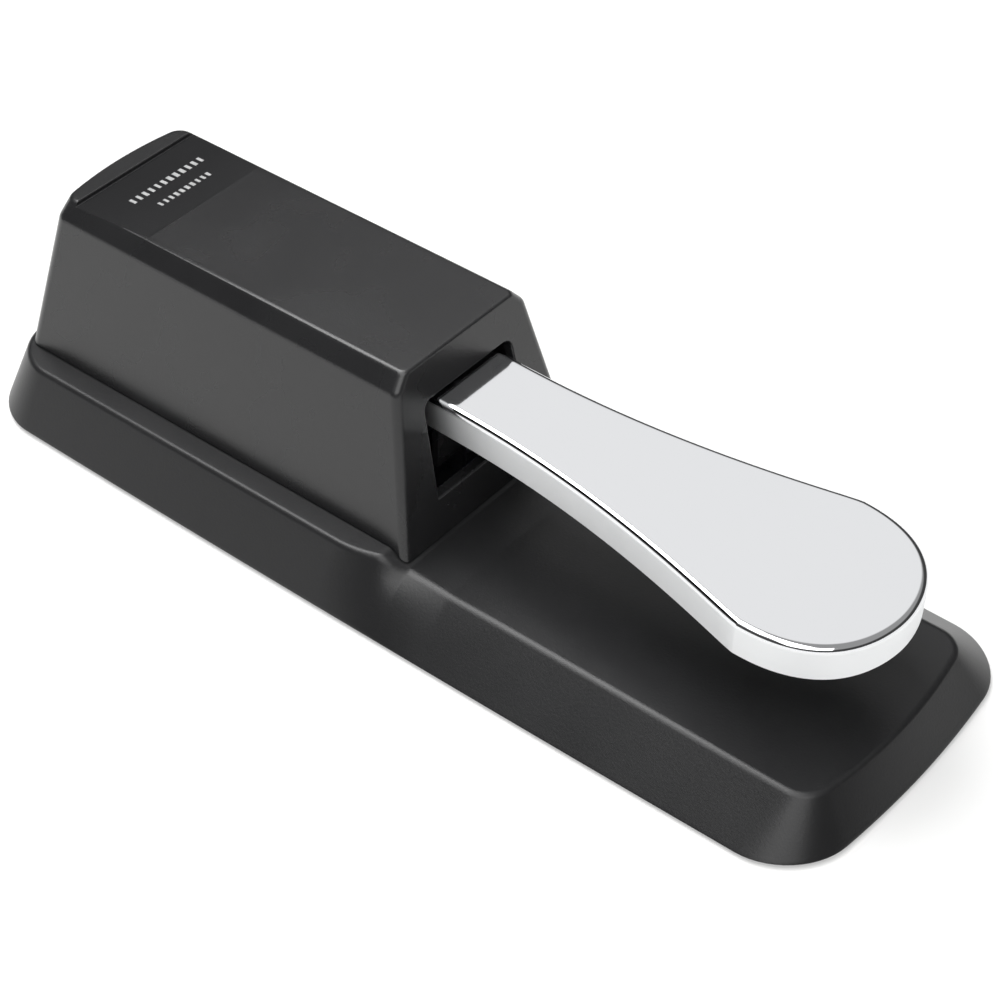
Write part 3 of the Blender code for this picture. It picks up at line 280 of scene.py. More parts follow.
def mouldedAbs(name, colour, roughness, ior):
    # ABS from a spark-eroded mould: a deep black whose fine grain spreads highlights to satin
    material, tree, shader, place = startMaterial(name, {"IOR": ior})
    grain = addNode(tree, "ShaderNodeTexNoise", {
        "Vector": place, "Scale": 1 / (plasticLook["grain"] * mm), "Detail": 3, "Roughness": 0.65})
    cloud = addNode(tree, "ShaderNodeTexNoise", {"Vector": place, "Scale": 38, "Detail": 4})
    bend = addNode(tree, "ShaderNodeAttribute", attribute_name="bend").outputs["Fac"]
    smooth = addNode(tree, "ShaderNodeAttribute", attribute_name="smoothPanel").outputs["Fac"]
    speck = addNode(tree, "ShaderNodeTexNoise", {"Vector": place, "Scale": 900, "Detail": 2})
    worn = addNode(tree, "ShaderNodeMath", {0: bend, 1: speck.outputs["Fac"]}, operation="MULTIPLY")
    wear = addNode(tree, "ShaderNodeMapRange", {
        "Value": worn.outputs[0], "From Min": 0.15, "From Max": 0.75, "To Max": 0.5})
    tint = addNode(tree, "ShaderNodeMapRange", {
        "Value": cloud.outputs["Fac"], "From Min": 0.3, "From Max": 0.7, "To Min": 0.92, "To Max": 1.08})
    shade = addNode(tree, "ShaderNodeVectorMath", {
        0: hexColour(colour)[:3], "Scale": tint.outputs[0]}, operation="SCALE")
    mixed = addNode(tree, "ShaderNodeMix", {
        "Factor": wear.outputs[0], 6: shade.outputs[0], 7: hexColour(plasticLook["wearColour"])},
        data_type="RGBA")
    tree.links.new(mixed.outputs[2], shader.inputs["Base Color"])
    sheen = addNode(tree, "ShaderNodeMapRange", {
        "Value": cloud.outputs["Fac"], "From Min": 0.25, "From Max": 0.75,
        "To Min": roughness - 0.03, "To Max": roughness + 0.03})
    flatter = addNode(tree, "ShaderNodeMix", {
        "Factor": smooth, 2: sheen.outputs[0], 3: plasticLook["panelRoughness"]})
    tree.links.new(flatter.outputs[0], shader.inputs["Roughness"])
    depth = addNode(tree, "ShaderNodeMapRange", {"Value": smooth, "To Min": 1, "To Max": 0.25})
    relief = addNode(tree, "ShaderNodeBump", {
        "Height": grain.outputs["Fac"], "Strength": depth.outputs[0],
        "Distance": plasticLook["grainDepth"] * mm})
    tree.links.new(relief.outputs[0], shader.inputs["Normal"])
    return material


chromeLook = {
    # the side colour is a painted highlight: lighter than the top, to brighten the lever's sides
    "topColour": "#e6e7e9", "sidePaintedLighterColour": "#ecedee", "topRoughness": 0.04, "sideRoughness": 0.5,
    "hairline": 0.6,     # mm between polishing marks
}


def polishedChrome():
    # bright chrome on buffed steel: a mirror on the tread, softened by the buffing wheel on the sides; the
    # sides also take a lighter colour, a painted highlight
    material, tree, shader, place = startMaterial("polished_chrome", {"Metallic": 1})
    side = addNode(tree, "ShaderNodeAttribute", attribute_name="side").outputs["Fac"]
    # painted highlight: the sides mix to a lighter colour than the tread
    tone = addNode(tree, "ShaderNodeMix", {
        "Factor": side, 6: hexColour(chromeLook["topColour"]), 7: hexColour(chromeLook["sidePaintedLighterColour"])},
        data_type="RGBA")
    tree.links.new(tone.outputs[2], shader.inputs["Base Color"])
    scale = 1 / (chromeLook["hairline"] * mm)
    streaks = addNode(tree, "ShaderNodeMapping", {
        "Vector": place, "Scale": (scale, scale * 0.02, scale * 0.3)})
    marks = addNode(tree, "ShaderNodeTexNoise", {"Vector": streaks.outputs[0], "Scale": 1, "Detail": 3})
    smudge = addNode(tree, "ShaderNodeTexNoise", {
        "Vector": place, "Scale": 45, "Detail": 5, "Roughness": 0.6})
    hand = addNode(tree, "ShaderNodeMapRange", {
        "Value": smudge.outputs["Fac"], "From Min": 0.35, "From Max": 0.75,
        "To Min": chromeLook["topRoughness"], "To Max": chromeLook["topRoughness"] + 0.05})
    rough = addNode(tree, "ShaderNodeMix", {
        "Factor": side, 2: hand.outputs[0], 3: chromeLook["sideRoughness"]})
    tree.links.new(rough.outputs[0], shader.inputs["Roughness"])
    relief = addNode(tree, "ShaderNodeBump", {
        "Height": marks.outputs["Fac"], "Strength": 0.06, "Distance": 0.02 * mm})
    tree.links.new(relief.outputs[0], shader.inputs["Normal"])
    return material


def rubberCompound(name, colour, roughness):
    # black rubber pressed in a matte mould: no clear highlight, a dusty bloom and a dry skin
    material, tree, shader, place = startMaterial(name, {"IOR": 1.5})
    bloom = addNode(tree, "ShaderNodeTexNoise", {"Vector": place, "Scale": 60, "Detail": 6})
    dust = addNode(tree, "ShaderNodeMapRange", {
        "Value": bloom.outputs["Fac"], "From Min": 0.35, "From Max": 0.8, "To Max": 0.25})
    mixed = addNode(tree, "ShaderNodeMix", {
        "Factor": dust.outputs[0], 6: hexColour(colour), 7: hexColour("#3a3937")}, data_type="RGBA")
    tree.links.new(mixed.outputs[2], shader.inputs["Base Color"])
    skin = addNode(tree, "ShaderNodeTexNoise", {"Vector": place, "Scale": 1 / (0.35 * mm), "Detail": 2})
    relief = addNode(tree, "ShaderNodeBump", {
        "Height": skin.outputs["Fac"], "Strength": 0.7, "Distance": 0.02 * mm})
    tree.links.new(relief.outputs[0], shader.inputs["Normal"])
    shader.inputs["Roughness"].default_value = roughness
    return material


def platedSteel(name, colour, roughness, lump):
    # zinc-plated or drawn steel: a grey metal whose plating clouds the shine in small patches
    material, tree, shader, place = startMaterial(name, {"Metallic": 1})
    patch = addNode(tree, "ShaderNodeTexNoise", {"Vector": place, "Scale": 1 / (lump * mm), "Detail": 4})
    tone = addNode(tree, "ShaderNodeMapRange", {
        "Value": patch.outputs["Fac"], "From Min": 0.3, "From Max": 0.7, "To Min": 0.86, "To Max": 1.0})
    shade = addNode(tree, "ShaderNodeVectorMath", {
        0: hexColour(colour)[:3], "Scale": tone.outputs[0]}, operation="SCALE")
    tree.links.new(shade.outputs[0], shader.inputs["Base Color"])
    rough = addNode(tree, "ShaderNodeMapRange", {
        "Value": patch.outputs["Fac"], "From Min": 0.3, "From Max": 0.7,
        "To Min": roughness - 0.06, "To Max": roughness + 0.06})
    tree.links.new(rough.outputs[0], shader.inputs["Roughness"])
    relief = addNode(tree, "ShaderNodeBump", {
        "Height": patch.outputs["Fac"], "Strength": 0.25, "Distance": 0.01 * mm})
    tree.links.new(relief.outputs[0], shader.inputs["Normal"])
    return material


def mouldedNylon(name, colour, roughness, milk):
    # injection-moulded engineering plastic: light goes a little way in and softens the edges
    material, tree, shader, place = startMaterial(name, {
        "IOR": 1.53, "Subsurface Weight": milk, "Subsurface Scale": 0.6 * mm})
    flow = addNode(tree, "ShaderNodeTexNoise", {
        "Vector": place, "Scale": 120, "Detail": 3, "Distortion": 0.6})
    tone = addNode(tree, "ShaderNodeMapRange", {
        "Value": flow.outputs["Fac"], "From Min": 0.3, "From Max": 0.7, "To Min": 0.94, "To Max": 1.0})
    shade = addNode(tree, "ShaderNodeVectorMath", {
        0: hexColour(colour)[:3], "Scale": tone.outputs[0]}, operation="SCALE")
    tree.links.new(shade.outputs[0], shader.inputs["Base Color"])
    rough = addNode(tree, "ShaderNodeMapRange", {
        "Value": flow.outputs["Fac"], "To Min": roughness - 0.05, "To Max": roughness + 0.05})
    tree.links.new(rough.outputs[0], shader.inputs["Roughness"])
    return material


def pressedFelt():
    # wool felt: matt, mottled grey, with a soft rim of light from the loose fibres
    material, tree, shader, place = startMaterial("pressed_felt", {
        "Roughness": 0.95, "Sheen Weight": 0.4, "Sheen Roughness": 0.5})
    fibre = addNode(tree, "ShaderNodeTexNoise", {
        "Vector": place, "Scale": 1 / (0.5 * mm), "Detail": 5, "Distortion": 1.5})
    mixed = addNode(tree, "ShaderNodeMix", {
        "Factor": fibre.outputs["Fac"], 6: hexColour("#3c3d41"), 7: hexColour("#6d6e73")}, data_type="RGBA")
    tree.links.new(mixed.outputs[2], shader.inputs["Base Color"])
    relief = addNode(tree, "ShaderNodeBump", {
        "Height": fibre.outputs["Fac"], "Strength": 1, "Distance": 0.15 * mm})
    tree.links.new(relief.outputs[0], shader.inputs["Normal"])
    return material


def padInk():
    # pad-printed epoxy ink: an opaque pale grey film, slightly thin where the pad lifted
    material, tree, shader, place = startMaterial("pad_printed_ink", {"Roughness": 0.5})
    film = addNode(tree, "ShaderNodeTexNoise", {"Vector": place, "Scale": 1500, "Detail": 2})
    mixed = addNode(tree, "ShaderNodeMix", {
        "Factor": film.outputs["Fac"], 6: hexColour("#8f9091"), 7: hexColour("#bebebe")}, data_type="RGBA")
    tree.links.new(mixed.outputs[2], shader.inputs["Base Color"])
    return material


coverAbs = mouldedAbs("cover_abs", plasticLook["coverColour"], plasticLook["coverRoughness"], 1.53)
baseAbs = mouldedAbs("base_abs", plasticLook["baseColour"], plasticLook["baseRoughness"], 1.44)
chrome = polishedChrome()
matRubber = rubberCompound("mat_rubber", "#161616", 0.8)
grommetRubber = rubberCompound("grommet_rubber", "#101010", 0.62)
zinc = platedSteel("zinc_plate", "#b9bcc0", 0.34, 2.2)
springSteel = platedSteel("drawn_spring_steel", "#8d8e90", 0.28, 0.8)
brass = platedSteel("tinned_brass", "#caa45c", 0.3, 1.0)
nylon = mouldedNylon("natural_nylon", "#e6e2d6", 0.42, 0.3)
switchBody = mouldedNylon("switch_phenolic", "#1b1c20", 0.45, 0)
plungerPlastic = mouldedNylon("plunger_acetal", "#b0241a", 0.35, 0.1)
felt = pressedFelt()
ink = padInk()
print("materials ready")


# base moulding

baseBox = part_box("base_shell")
baseShape = {
    "deckZ": 11.2, "rampZ": 12.2, "rampLength": 12.0,
    "pinchY": -7.54, "pinchLength": 17.5, "ledgeRise": 6.5,    # the ledge draws in to the cover's corner
    "scoop": (-26.0, 12.0),    # Y range of the soft hollow under that corner
    "deckInset": 5.6, "deckCorner": 5.3, "ledgeCorner": 10.9, "rimCorner": 15.2,
    "sideRun": 7.65, "frontRun": 6.4, "rearRun": 3.6, "endBow": 3.4, "sideBow": 0.9,
    "edgeRound": 1.0, "rimRound": 0.6, "wall": 2.5, "footWidth": 7.5, "floorZ": 4.1,
    "wellHalf": 17.0, "wellFront": -3.24, "wellRear": 104.44,
}
rimHalf, rimFront, rimRear = baseBox[1].x / mm, baseBox[0].y / mm, baseBox[1].y / mm
rimZ, ledgeZ = baseBox[0].z / mm, baseBox[1].z / mm
ledgeHalf = rimHalf - baseShape["sideRun"]
deckHalf = ledgeHalf - baseShape["deckInset"]
deckFront, ledgeRear = rimFront + baseShape["frontRun"], rimRear - baseShape["rearRun"]


def deckHalfWidth(y):    # the flank's top edge, which draws in to the cover's front corner
    start, length = baseShape["pinchY"], baseShape["pinchLength"]
    if y <= start:
        return deckHalf
    if y >= start + length:
        return ledgeHalf
    back = (start + length - y) / length
    return deckHalf + baseShape["deckInset"] * (1 - back * back)


def deckHeight(y):    # flat deck, short ramp, then up to the ledge
    start, rise = baseShape["pinchY"], baseShape["ledgeRise"]
    flat, ramp = baseShape["deckZ"], baseShape["rampZ"]
    if y >= start + rise:
        return ledgeZ
    if y >= start:
        t = (y - start) / rise
        return ramp + (ledgeZ - ramp) * t * t * (3 - 2 * t)
    t = max(0, 1 - (start - y) / baseShape["rampLength"])
    return flat + (ramp - flat) * t


def easedStep(y, start, end):
    t = min(1, max(0, (y - start) / (end - start)))
    return t * t * (3 - 2 * t)


def scoopHalfWidth(y):    # the same draw-in spread along the side, which the lower flank follows
    return deckHalf + baseShape["deckInset"] * easedStep(y, *baseShape["scoop"])


def scoopHeight(y):
    return baseShape["deckZ"] + (ledgeZ - baseShape["deckZ"]) * easedStep(y, *baseShape["scoop"])


def sidePlaces():    # along the side from the rear, close together where the edge turns
    start, length = baseShape["pinchY"], baseShape["pinchLength"]
    rear = [ledgeRear - 20 - (ledgeRear - 20 - start - length) * i / 12 for i in range(12)]
    pinch = [start + length * (1 - math.cos(math.radians(a))) for a in range(90, -1, -3)]
    ramp = [start - baseShape["rampLength"] * i / 8 for i in range(1, 9)]
    front = [ramp[-1] - (ramp[-1] - deckFront - 20) * i / 8 for i in range(1, 9)]
    return rear + pinch + ramp + front


def baseRing(half, front, rear, frontCorner, rearCorner, height, sideBow):
    ends, turnSteps = 14, 14
    left = [(-(half(rear) - rearCorner) * (i + 0.5) / ends, rear) for i in range(ends)]
    left += arc((rearCorner - half(rear), rear - rearCorner), rearCorner, 90, 180, turnSteps)
    left += [(-half(y), y) for y in sidePlaces()]
    left += arc((frontCorner - half(front), front + frontCorner), frontCorner, 180, 270, turnSteps)
    left += [(-(half(front) - frontCorner) * (i + 0.5) / ends, front) for i in reversed(range(ends))]
    centre, reach = (front + rear) / 2, (rear - front) / 2
    ring = []
    for x, y in left:
        share, far = x / half(front), (y - centre) / reach
        bowed = y - math.copysign(baseShape["endBow"] * share * share, far) * abs(far)
        ring.append(((x + sideBow * far * far) * mm, bowed * mm, height(y) * mm))
    return mirrored(ring)


def rimRing(inset, z):
    corner = baseShape["rimCorner"] - inset * 0.8
    return baseRing(lambda y: rimHalf - inset, rimFront + inset, rimRear - inset, corner, corner,
                    lambda y: z, baseShape["sideBow"])


def deckRing(inset, drop):
    frontCorner = baseShape["deckCorner"] - min(inset, baseShape["deckCorner"] / 2)
    return baseRing(lambda y: deckHalfWidth(y) - inset, deckFront + inset, ledgeRear - inset, frontCorner,
                    baseShape["ledgeCorner"] - inset, lambda y: deckHeight(y) - drop, 0)


def roundedRectangle(half, front, rear, radius, steps):
    left = arc((-half + radius, rear - radius), radius, 90, 180, steps)
    left += arc((-half + radius, front + radius), radius, 180, 270, steps)
    return mirrored(left)


def makeBase():
    s = baseShape
    edge, rim = deckRing(0, 0), rimRing(0, rimZ)
    soft = baseRing(scoopHalfWidth, deckFront, ledgeRear, s["deckCorner"], s["ledgeCorner"], scoopHeight, 0)

    def flank(share):    # 0 at the deck's edge, 1 at the rim
        return [Vector(a).lerp(Vector(b), 1 - (1 - share) ** 3).lerp(Vector(c), share)
                for a, b, c in zip(edge, soft, rim)]

    rows = [deckRing(s["edgeRound"] + 1.0, 0)]
    rows += roundBetween(deckRing(s["edgeRound"], 0), edge, flank(0.07), 9)
    rows += [flank(k / 14) for k in range(2, 14)]
    flankFoot = towards(rim, flank(13 / 14), s["rimRound"])
    rows += roundBetween(flankFoot, rim, rimRing(s["rimRound"], rimZ), 4)
    rows += [rimRing(s["footWidth"], rimZ), rimRing(s["footWidth"], s["floorZ"])]
    rows.append(deckRing(s["wall"], s["wall"]))
    base = loft("base_moulding", rows, baseAbs)
    well = roundedRectangle(s["wellHalf"], s["wellFront"], s["wellRear"], 2, 6)
    hole = prism("well", [(x * mm, y * mm) for x, y in well], s["floorZ"] * mm, (ledgeZ + 3) * mm, upright)
    combine(base, "DIFFERENCE", [hole])
    markBends(settle(base))
    return finishPiece(base, "base", ["base_shell"])


makeBase()
print("base moulding done")


# housing cover

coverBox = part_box("housing_cover")
coverShape = {
    "pivotFromRear": 21.3, "shoulderLength": 103.8, "shoulderHalf": 21.685, "shoulderDrop": 3.9,
    "shoulderRun": 3.5, "sideDraft": 0.197, "endDraft": 0.2, "rearBow": 1.8,
    "frontCorner": 2.0, "rearCorner": 2.8, "wall": 2.5, "shoulderRound": 0.7, "roofRound": 0.7,
    "slotTop": 45.32, "slotFoot": 22.02, "slotHalf": 14.5, "slotSpread": 1.0, "slotCorner": 2.5,
    "slotRound": 0.5, "slotDepth": 4.5,
    "panelLip": 5.2, "panelLength": 22.3, "panelDepth": 0.9,
    "panelLipRound": 0.35, "outletZ": 26.2, "outletRadius": 8.6, "outletBore": 5.1, "outletRound": 0.8,
}
roofZ = coverBox[1].z / mm
shoulderZ = roofZ - coverShape["shoulderDrop"]
shoulderRear = pivot.y / mm + coverShape["pivotFromRear"]
shoulderFront = shoulderRear - coverShape["shoulderLength"]


def coverFront(z):
    return shoulderFront - coverShape["endDraft"] * (shoulderZ - z)


def coverRear(z):
    return shoulderRear + coverShape["endDraft"] * (shoulderZ - z)


def coverHalf(z):    # upright side up to the shoulder, then the chamfer
    s = coverShape
    if z <= shoulderZ:
        return s["shoulderHalf"] + s["sideDraft"] * (shoulderZ - z)
    return s["shoulderHalf"] - s["shoulderRun"] * (z - shoulderZ) / s["shoulderDrop"]


def coverRing(z, inset=0):
    s = coverShape
    half, front, rear = coverHalf(z) - inset, coverFront(z) + inset, coverRear(z) - inset
    rearCorner, frontCorner = s["rearCorner"] - inset * 0.8, max(s["frontCorner"] - inset, 0.4)
    left = [(-(half - rearCorner) * (i + 0.5) / 10, rear) for i in range(10)]
    left += arc((rearCorner - half, rear - rearCorner), rearCorner, 90, 180, 12)
    left += arc((frontCorner - half, front + frontCorner), frontCorner, 180, 270, 10)
    ring = []
    for x, y in left:
        if y > (front + rear) / 2:
            y += s["rearBow"] * (0.5 - (x / half) ** 2)
        ring.append((x * mm, y * mm, z * mm))
    return mirrored(ring)


def slotRing(grow, depth):    # the slot's outline at a depth behind the leaning front wall
    s = coverShape
    top, foot, r = s["slotTop"] + grow, s["slotFoot"] - grow, s["slotCorner"] + grow
    half, wide = s["slotHalf"] + grow, s["slotHalf"] + s["slotSpread"] + grow
    left = [(-wide, foot)] + arc((r - half, top - r), r, 180, 90, 8)
    return [(x * mm, (coverFront(z) + depth) * mm, z * mm) for x, z in mirrored(left)]


def slotCutter():
    s = coverShape
    lead = s["slotRound"]
    rows = [slotRing(lead, -3)]
    for a in range(0, 91, 18):
        t = math.radians(a)
        rows.append(slotRing(lead * (1 - math.sin(t)), lead * (1 - math.cos(t))))
    rows.append(slotRing(0, s["slotDepth"]))
    return loft("slot", rows)


def clearanceCutter():    # what the base takes, so that the cover's foot follows the deck
    ys = [-60, *[y for y in reversed(sidePlaces()) if -40 < y < 15], 160]
    top = [(y * mm, deckHeight(y) * mm + gap) for y in ys]
    return prism("clearance", [(160 * mm, -20 * mm), (-60 * mm, -20 * mm), *top], -60 * mm, 60 * mm, across)


def panelCutter():    # a wedge with a rounded lip sinks the rear of the roof
    s = coverShape
    rear, r = shoulderRear - s["panelLip"], s["panelLipRound"]
    front = rear - s["panelLength"]
    low = roofZ - s["panelDepth"]
    lip, crest = arc((rear - r, low + r), r, -90, 0, 6), arc((rear + r, roofZ - r), r, 180, 90, 6)
    points = [(front, roofZ), *lip, *crest, (rear + r, roofZ + 5), (front, roofZ + 5)]
    return prism("panel", [(y * mm, z * mm) for y, z in points], -40 * mm, 40 * mm, across)


def outletBoss():
    s = coverShape
    wall = coverRear(s["outletZ"]) + s["rearBow"] / 2
    face, edge = coverBox[1].y / mm, s["outletRound"]
    r, back = s["outletRadius"], wall - s["wall"] - 2
    profile = [(0, back), (r, back), *arc((r - edge, face - edge), edge, 0, 90, 6), (0, face)]
    place = Matrix.Translation((0, 0, s["outletZ"] * mm)) @ Matrix.Rotation(-math.pi / 2, 4, "X")
    boss = turned("boss", [(a * mm, b * mm) for a, b in profile], 64, place)
    bore = s["outletBore"] * mm
    hole = turned("hole", [(0, (back - 5) * mm), (bore, (back - 5) * mm), (bore, (face + 5) * mm),
                           (0, (face + 5) * mm)], 64, place)
    return boss, hole


def makeCover():
    s = coverShape
    foot, a, b = baseShape["deckZ"] - baseShape["wall"], s["shoulderRound"], s["roofRound"]
    rows = [coverRing(foot), coverRing(shoulderZ - 6)]
    rows += roundBetween(coverRing(shoulderZ - a), coverRing(shoulderZ), coverRing(shoulderZ + a * 0.8), 6)
    rows += roundBetween(coverRing(roofZ - b), coverRing(roofZ), coverRing(roofZ, b), 7)
    rows.append(coverRing(roofZ, b + 0.6))
    cover = loft("housing_moulding", rows, coverAbs)
    inside = loft("inside", [coverRing(foot - 5, s["wall"]), coverRing(shoulderZ - 1, s["wall"]),
                             coverRing(roofZ - s["wall"], s["wall"] * 0.7)])
    boss, hole = outletBoss()
    combine(cover, "DIFFERENCE", [inside])
    combine(cover, "UNION", [boss])
    combine(cover, "DIFFERENCE", [clearanceCutter(), slotCutter(), panelCutter(), hole])
    markPanel(cover)
    markBends(settle(cover))
    return finishPiece(cover, "base", ["housing_cover"])


def markPanel(cover):    # attribute "smoothPanel": 1 on the sunk rear panel, which has no spark grain
    rear = (shoulderRear - coverShape["panelLip"]) * mm
    front = rear - coverShape["panelLength"] * mm
    flags = []
    for face in cover.data.polygons:
        centre = face.center
        sunk = centre.z < roofZ * mm - 0.02 * mm and front < centre.y < rear and face.normal.z > 0.995
        flags.append(1.0 if sunk and centre.z > shoulderZ * mm else 0.0)
    layer = cover.data.attributes.new("smoothPanel", "FLOAT", "FACE")
    layer.data.foreach_set("value", flags)


makeCover()
print("housing cover done")


# lever

leverShape = {
    "neckHalf": 11.1, "spoonHalf": 23.2, "toeMargin": 8.6, "toeLength": 25.0, "spoonLength": 80.4,
    "neckHandle": 43.0, "spoonHandle": 3.3, "tail": 8.0, "height": 8.6, "aboveAxis": 4.6,
    "wall": 2.0, "topWall": 1.8, "topRound": 1.7, "footRound": 0.35,
    "earRadius": 7.5, "earProud": 0.2, "bore": 3.7,
}
toeY = (rimFront + leverShape["toeMargin"] - pivot.y / mm) / math.cos(restTilt)
leverPlace = Matrix.Translation(pivot) @ Matrix.Rotation(restTilt, 4, "X")


def leverRing(inset, z, tail=None):    # straight neck, flare and round toe, in the lever's own frame
    s = leverShape
    neck, spoon, tip = s["neckHalf"] - inset, s["spoonHalf"] - inset, toeY + inset
    widest = toeY + s["toeLength"]
    flare, drop = widest + s["spoonLength"], s["toeLength"] - inset
    half = [(-neck, s["tail"] - inset if tail is None else tail)]
    half += bezier((-neck, flare), (-neck, flare - s["neckHandle"]), (-spoon, widest + s["spoonHandle"]),
                   (-spoon, widest), 44)
    half += bezier((-spoon, widest), (-spoon, widest - drop * 0.91), (-spoon * 0.23, tip), (0, tip), 36)[1:]
    outline = half + [(-x, y) for x, y in reversed(half[:-1])]
    return [leverPlace @ Vector((x * mm, y * mm, z * mm)) for x, y in outline]


def makeLever():
    s = leverShape
    top, foot, a, b = s["aboveAxis"], s["aboveAxis"] - s["height"], s["topRound"], s["footRound"]
    rows = [leverRing(a + 0.8, top)]
    rows += roundBetween(leverRing(a, top), leverRing(0, top), leverRing(0, top - a), 9)
    rows += roundBetween(leverRing(0, foot + b), leverRing(0, foot), leverRing(b, foot), 3)
    rows += [leverRing(s["wall"], foot), leverRing(s["wall"], top - s["topWall"])]
    lever = loft("chrome_lever", rows, chrome)
    ears = []
    for side in (-1, 1):
        outline = arc((0, 0), s["earRadius"], 180, 360, 40)
        outline += [(s["earRadius"], s["aboveAxis"] / 2), (-s["earRadius"], s["aboveAxis"] / 2)]
        near, far = s["neckHalf"] - s["wall"] - s["earProud"], s["neckHalf"] + s["earProud"]
        low, high = sorted((side * near, side * far))
        ear = prism("ear", [(y * mm, z * mm) for y, z in outline], low * mm, high * mm, across)
        ear.data.transform(leverPlace)
        ears.append(ear)
    combine(lever, "UNION", ears)
    bore = turned("bore", [(0, -0.03), (s["bore"] * mm, -0.03), (s["bore"] * mm, 0.03), (0, 0.03)], 48,
                  Matrix.Translation(pivot) @ Matrix.Rotation(math.pi / 2, 4, "Y"))
    combine(lever, "DIFFERENCE", [bore])
    settle(lever, 30)
    layer = lever.data.attributes.new("side", "FLOAT", "POINT")
    up = leverPlace.to_3x3() @ Vector((0, 0, 1))
    uprightness = [1 - abs(v.normal.dot(up)) * 3 for v in lever.data.vertices]
    layer.data.foreach_set("value", [min(1, max(0, u)) for u in uprightness])
    return finishPiece(lever, "lever", ["pedal_lever"])


makeLever()
print("lever done")


# rubber mat with its tread

matShape = {
    "thickness": 2.0, "skin": 1.1, "edgeGap": 0.4, "edgeRound": 0.3,
    "studRadius": 1.9, "studTop": 1.3, "pitch": 5.2, "margin": 4.2, "corner": 8,
    "rowRatio": 0.866,    # rows of a triangular grid, as a share of the pitch
    "screwClear": 6.4, "screwHole": 3.4,
}
plateScrews = [((a + b) / 2).to_2d() for a, b in [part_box(f"plate_screw_{i}") for i in range(1, 7)]]


def scatterStuds():    # tree: a tapered stud, foot down, on every point of the mesh
    tree, given = startTree("tread_studs", {
        "Foot Radius": "Float", "Root Radius": "Float", "Height": "Float"})
    stud = addNode(tree, "GeometryNodeMeshCone", {
        "Vertices": 6, "Radius Top": given["Root Radius"], "Radius Bottom": given["Foot Radius"],
        "Depth": given["Height"]})
    placed = addNode(tree, "GeometryNodeInstanceOnPoints", {
        "Points": given["Geometry"], "Instance": stud.outputs["Mesh"]})
    return closeTree(tree, placed.outputs[0], given["Material"])


def useTree(obj, tree, values):    # a Geometry Nodes modifier, its inputs set by identifier
    step = obj.modifiers.new(tree.name, "NODES")
    step.node_group = tree
    for item in tree.interface.items_tree:
        if item.item_type == "SOCKET" and item.in_out == "INPUT" and item.name in values:
            step[item.identifier] = values[item.name]
    return asPlainMesh(obj)


def pointsObject(name, points):
    mesh = bpy.data.meshes.new(name)
    mesh.from_pydata([tuple(p) for p in points], [], [])
    return newObject(name, mesh)


def makeMat():
    s = matShape
    outer = baseShape["footWidth"] + s["edgeGap"]
    low, high, r = s["thickness"] - s["skin"], s["thickness"], s["edgeRound"]
    rows = [rimRing(outer, high), rimRing(outer, low + r), rimRing(outer + r * 0.3, low + r * 0.3),
            rimRing(outer + r, low), rimRing(outer + r + 0.5, low)]
    mat = loft("rubber_mat_skin", rows, matRubber)
    hole = s["screwHole"] * mm
    holes = [turned("hole", [(0, -0.01), (hole, -0.01), (hole, 0.01), (0, 0.01)], 32,
                    Matrix.Translation((at.x, at.y, 0))) for at in plateScrews]
    combine(mat, "DIFFERENCE", holes)
    settle(mat)
    half, front = rimHalf - outer - s["margin"], rimFront + outer + s["margin"]
    rear = rimRear - outer - s["margin"]
    columns, lines = int(half / s["pitch"]), int((rear - front) / s["pitch"] / s["rowRatio"] / 2)
    spots = []
    for line in range(-lines, lines + 1):
        shift = 0.5 * s["pitch"] if line % 2 else 0
        for column in range(-columns - 1, columns + 1):
            at = Vector((column * s["pitch"] + shift, line * s["pitch"] * s["rowRatio"]))
            bow = baseShape["endBow"] * (at.x / rimHalf) ** 2
            past = Vector((abs(at.x) - half + s["corner"], abs(at.y) + bow - rear + s["corner"]))
            inside = abs(at.x) < half and abs(at.y) + bow < rear and (
                min(past) < 0 or past.length < s["corner"])
            if inside and all((at * mm - screw).length > s["screwClear"] * mm for screw in plateScrews):
                spots.append((at.x * mm, at.y * mm, 0))
    studs = pointsObject("rubber_mat_studs", spots)
    useTree(studs, scatterStuds(), {"Foot Radius": s["studTop"] * mm, "Root Radius": s["studRadius"] * mm,
                                    "Height": (low + 0.05) * mm, "Material": matRubber})
    finishPiece(mat, "base", ["rubber_mat"])
    return finishPiece(studs, "base")


makeMat()
print("rubber mat done")


# screws

screwShape = {    # shank radius, head radius, head height, driver cross half-length and half-width, all in mm
    "tapping": (1.35, 2.8, 1.5, 1.55, 0.32), "machine": (1.45, 2.7, 1.7, 1.5, 0.32),
    "switch": (0.95, 1.7, 1.2, 0.95, 0.2),
}


def placeScrews():    # tree: the screw on every point, turned so that its shank follows the point's aim
    tree, given = startTree("placed_screws", {"Screw": "Object", "Seed": "Int"})
    screw = addNode(tree, "GeometryNodeObjectInfo", {"Object": given["Screw"]})
    aim = addNode(tree, "GeometryNodeInputNamedAttribute", {"Name": "aim"}, data_type="FLOAT_VECTOR")
    facing = addNode(tree, "FunctionNodeAlignRotationToVector", {"Vector": aim.outputs["Attribute"]},
                     axis="Z")
    spin = addNode(tree, "FunctionNodeRandomValue", {"Max": (0, 0, math.pi), "Seed": given["Seed"]},
                   data_type="FLOAT_VECTOR")
    turned = addNode(tree, "FunctionNodeRotateRotation", {
        "Rotation": facing.outputs[0], "Rotate By": spin.outputs["Value"]}, rotation_space="LOCAL")
    placed = addNode(tree, "GeometryNodeInstanceOnPoints", {
        "Points": given["Geometry"], "Instance": screw.outputs["Geometry"], "Rotation": turned.outputs[0]})
    return closeTree(tree, placed.outputs[0], given["Material"])


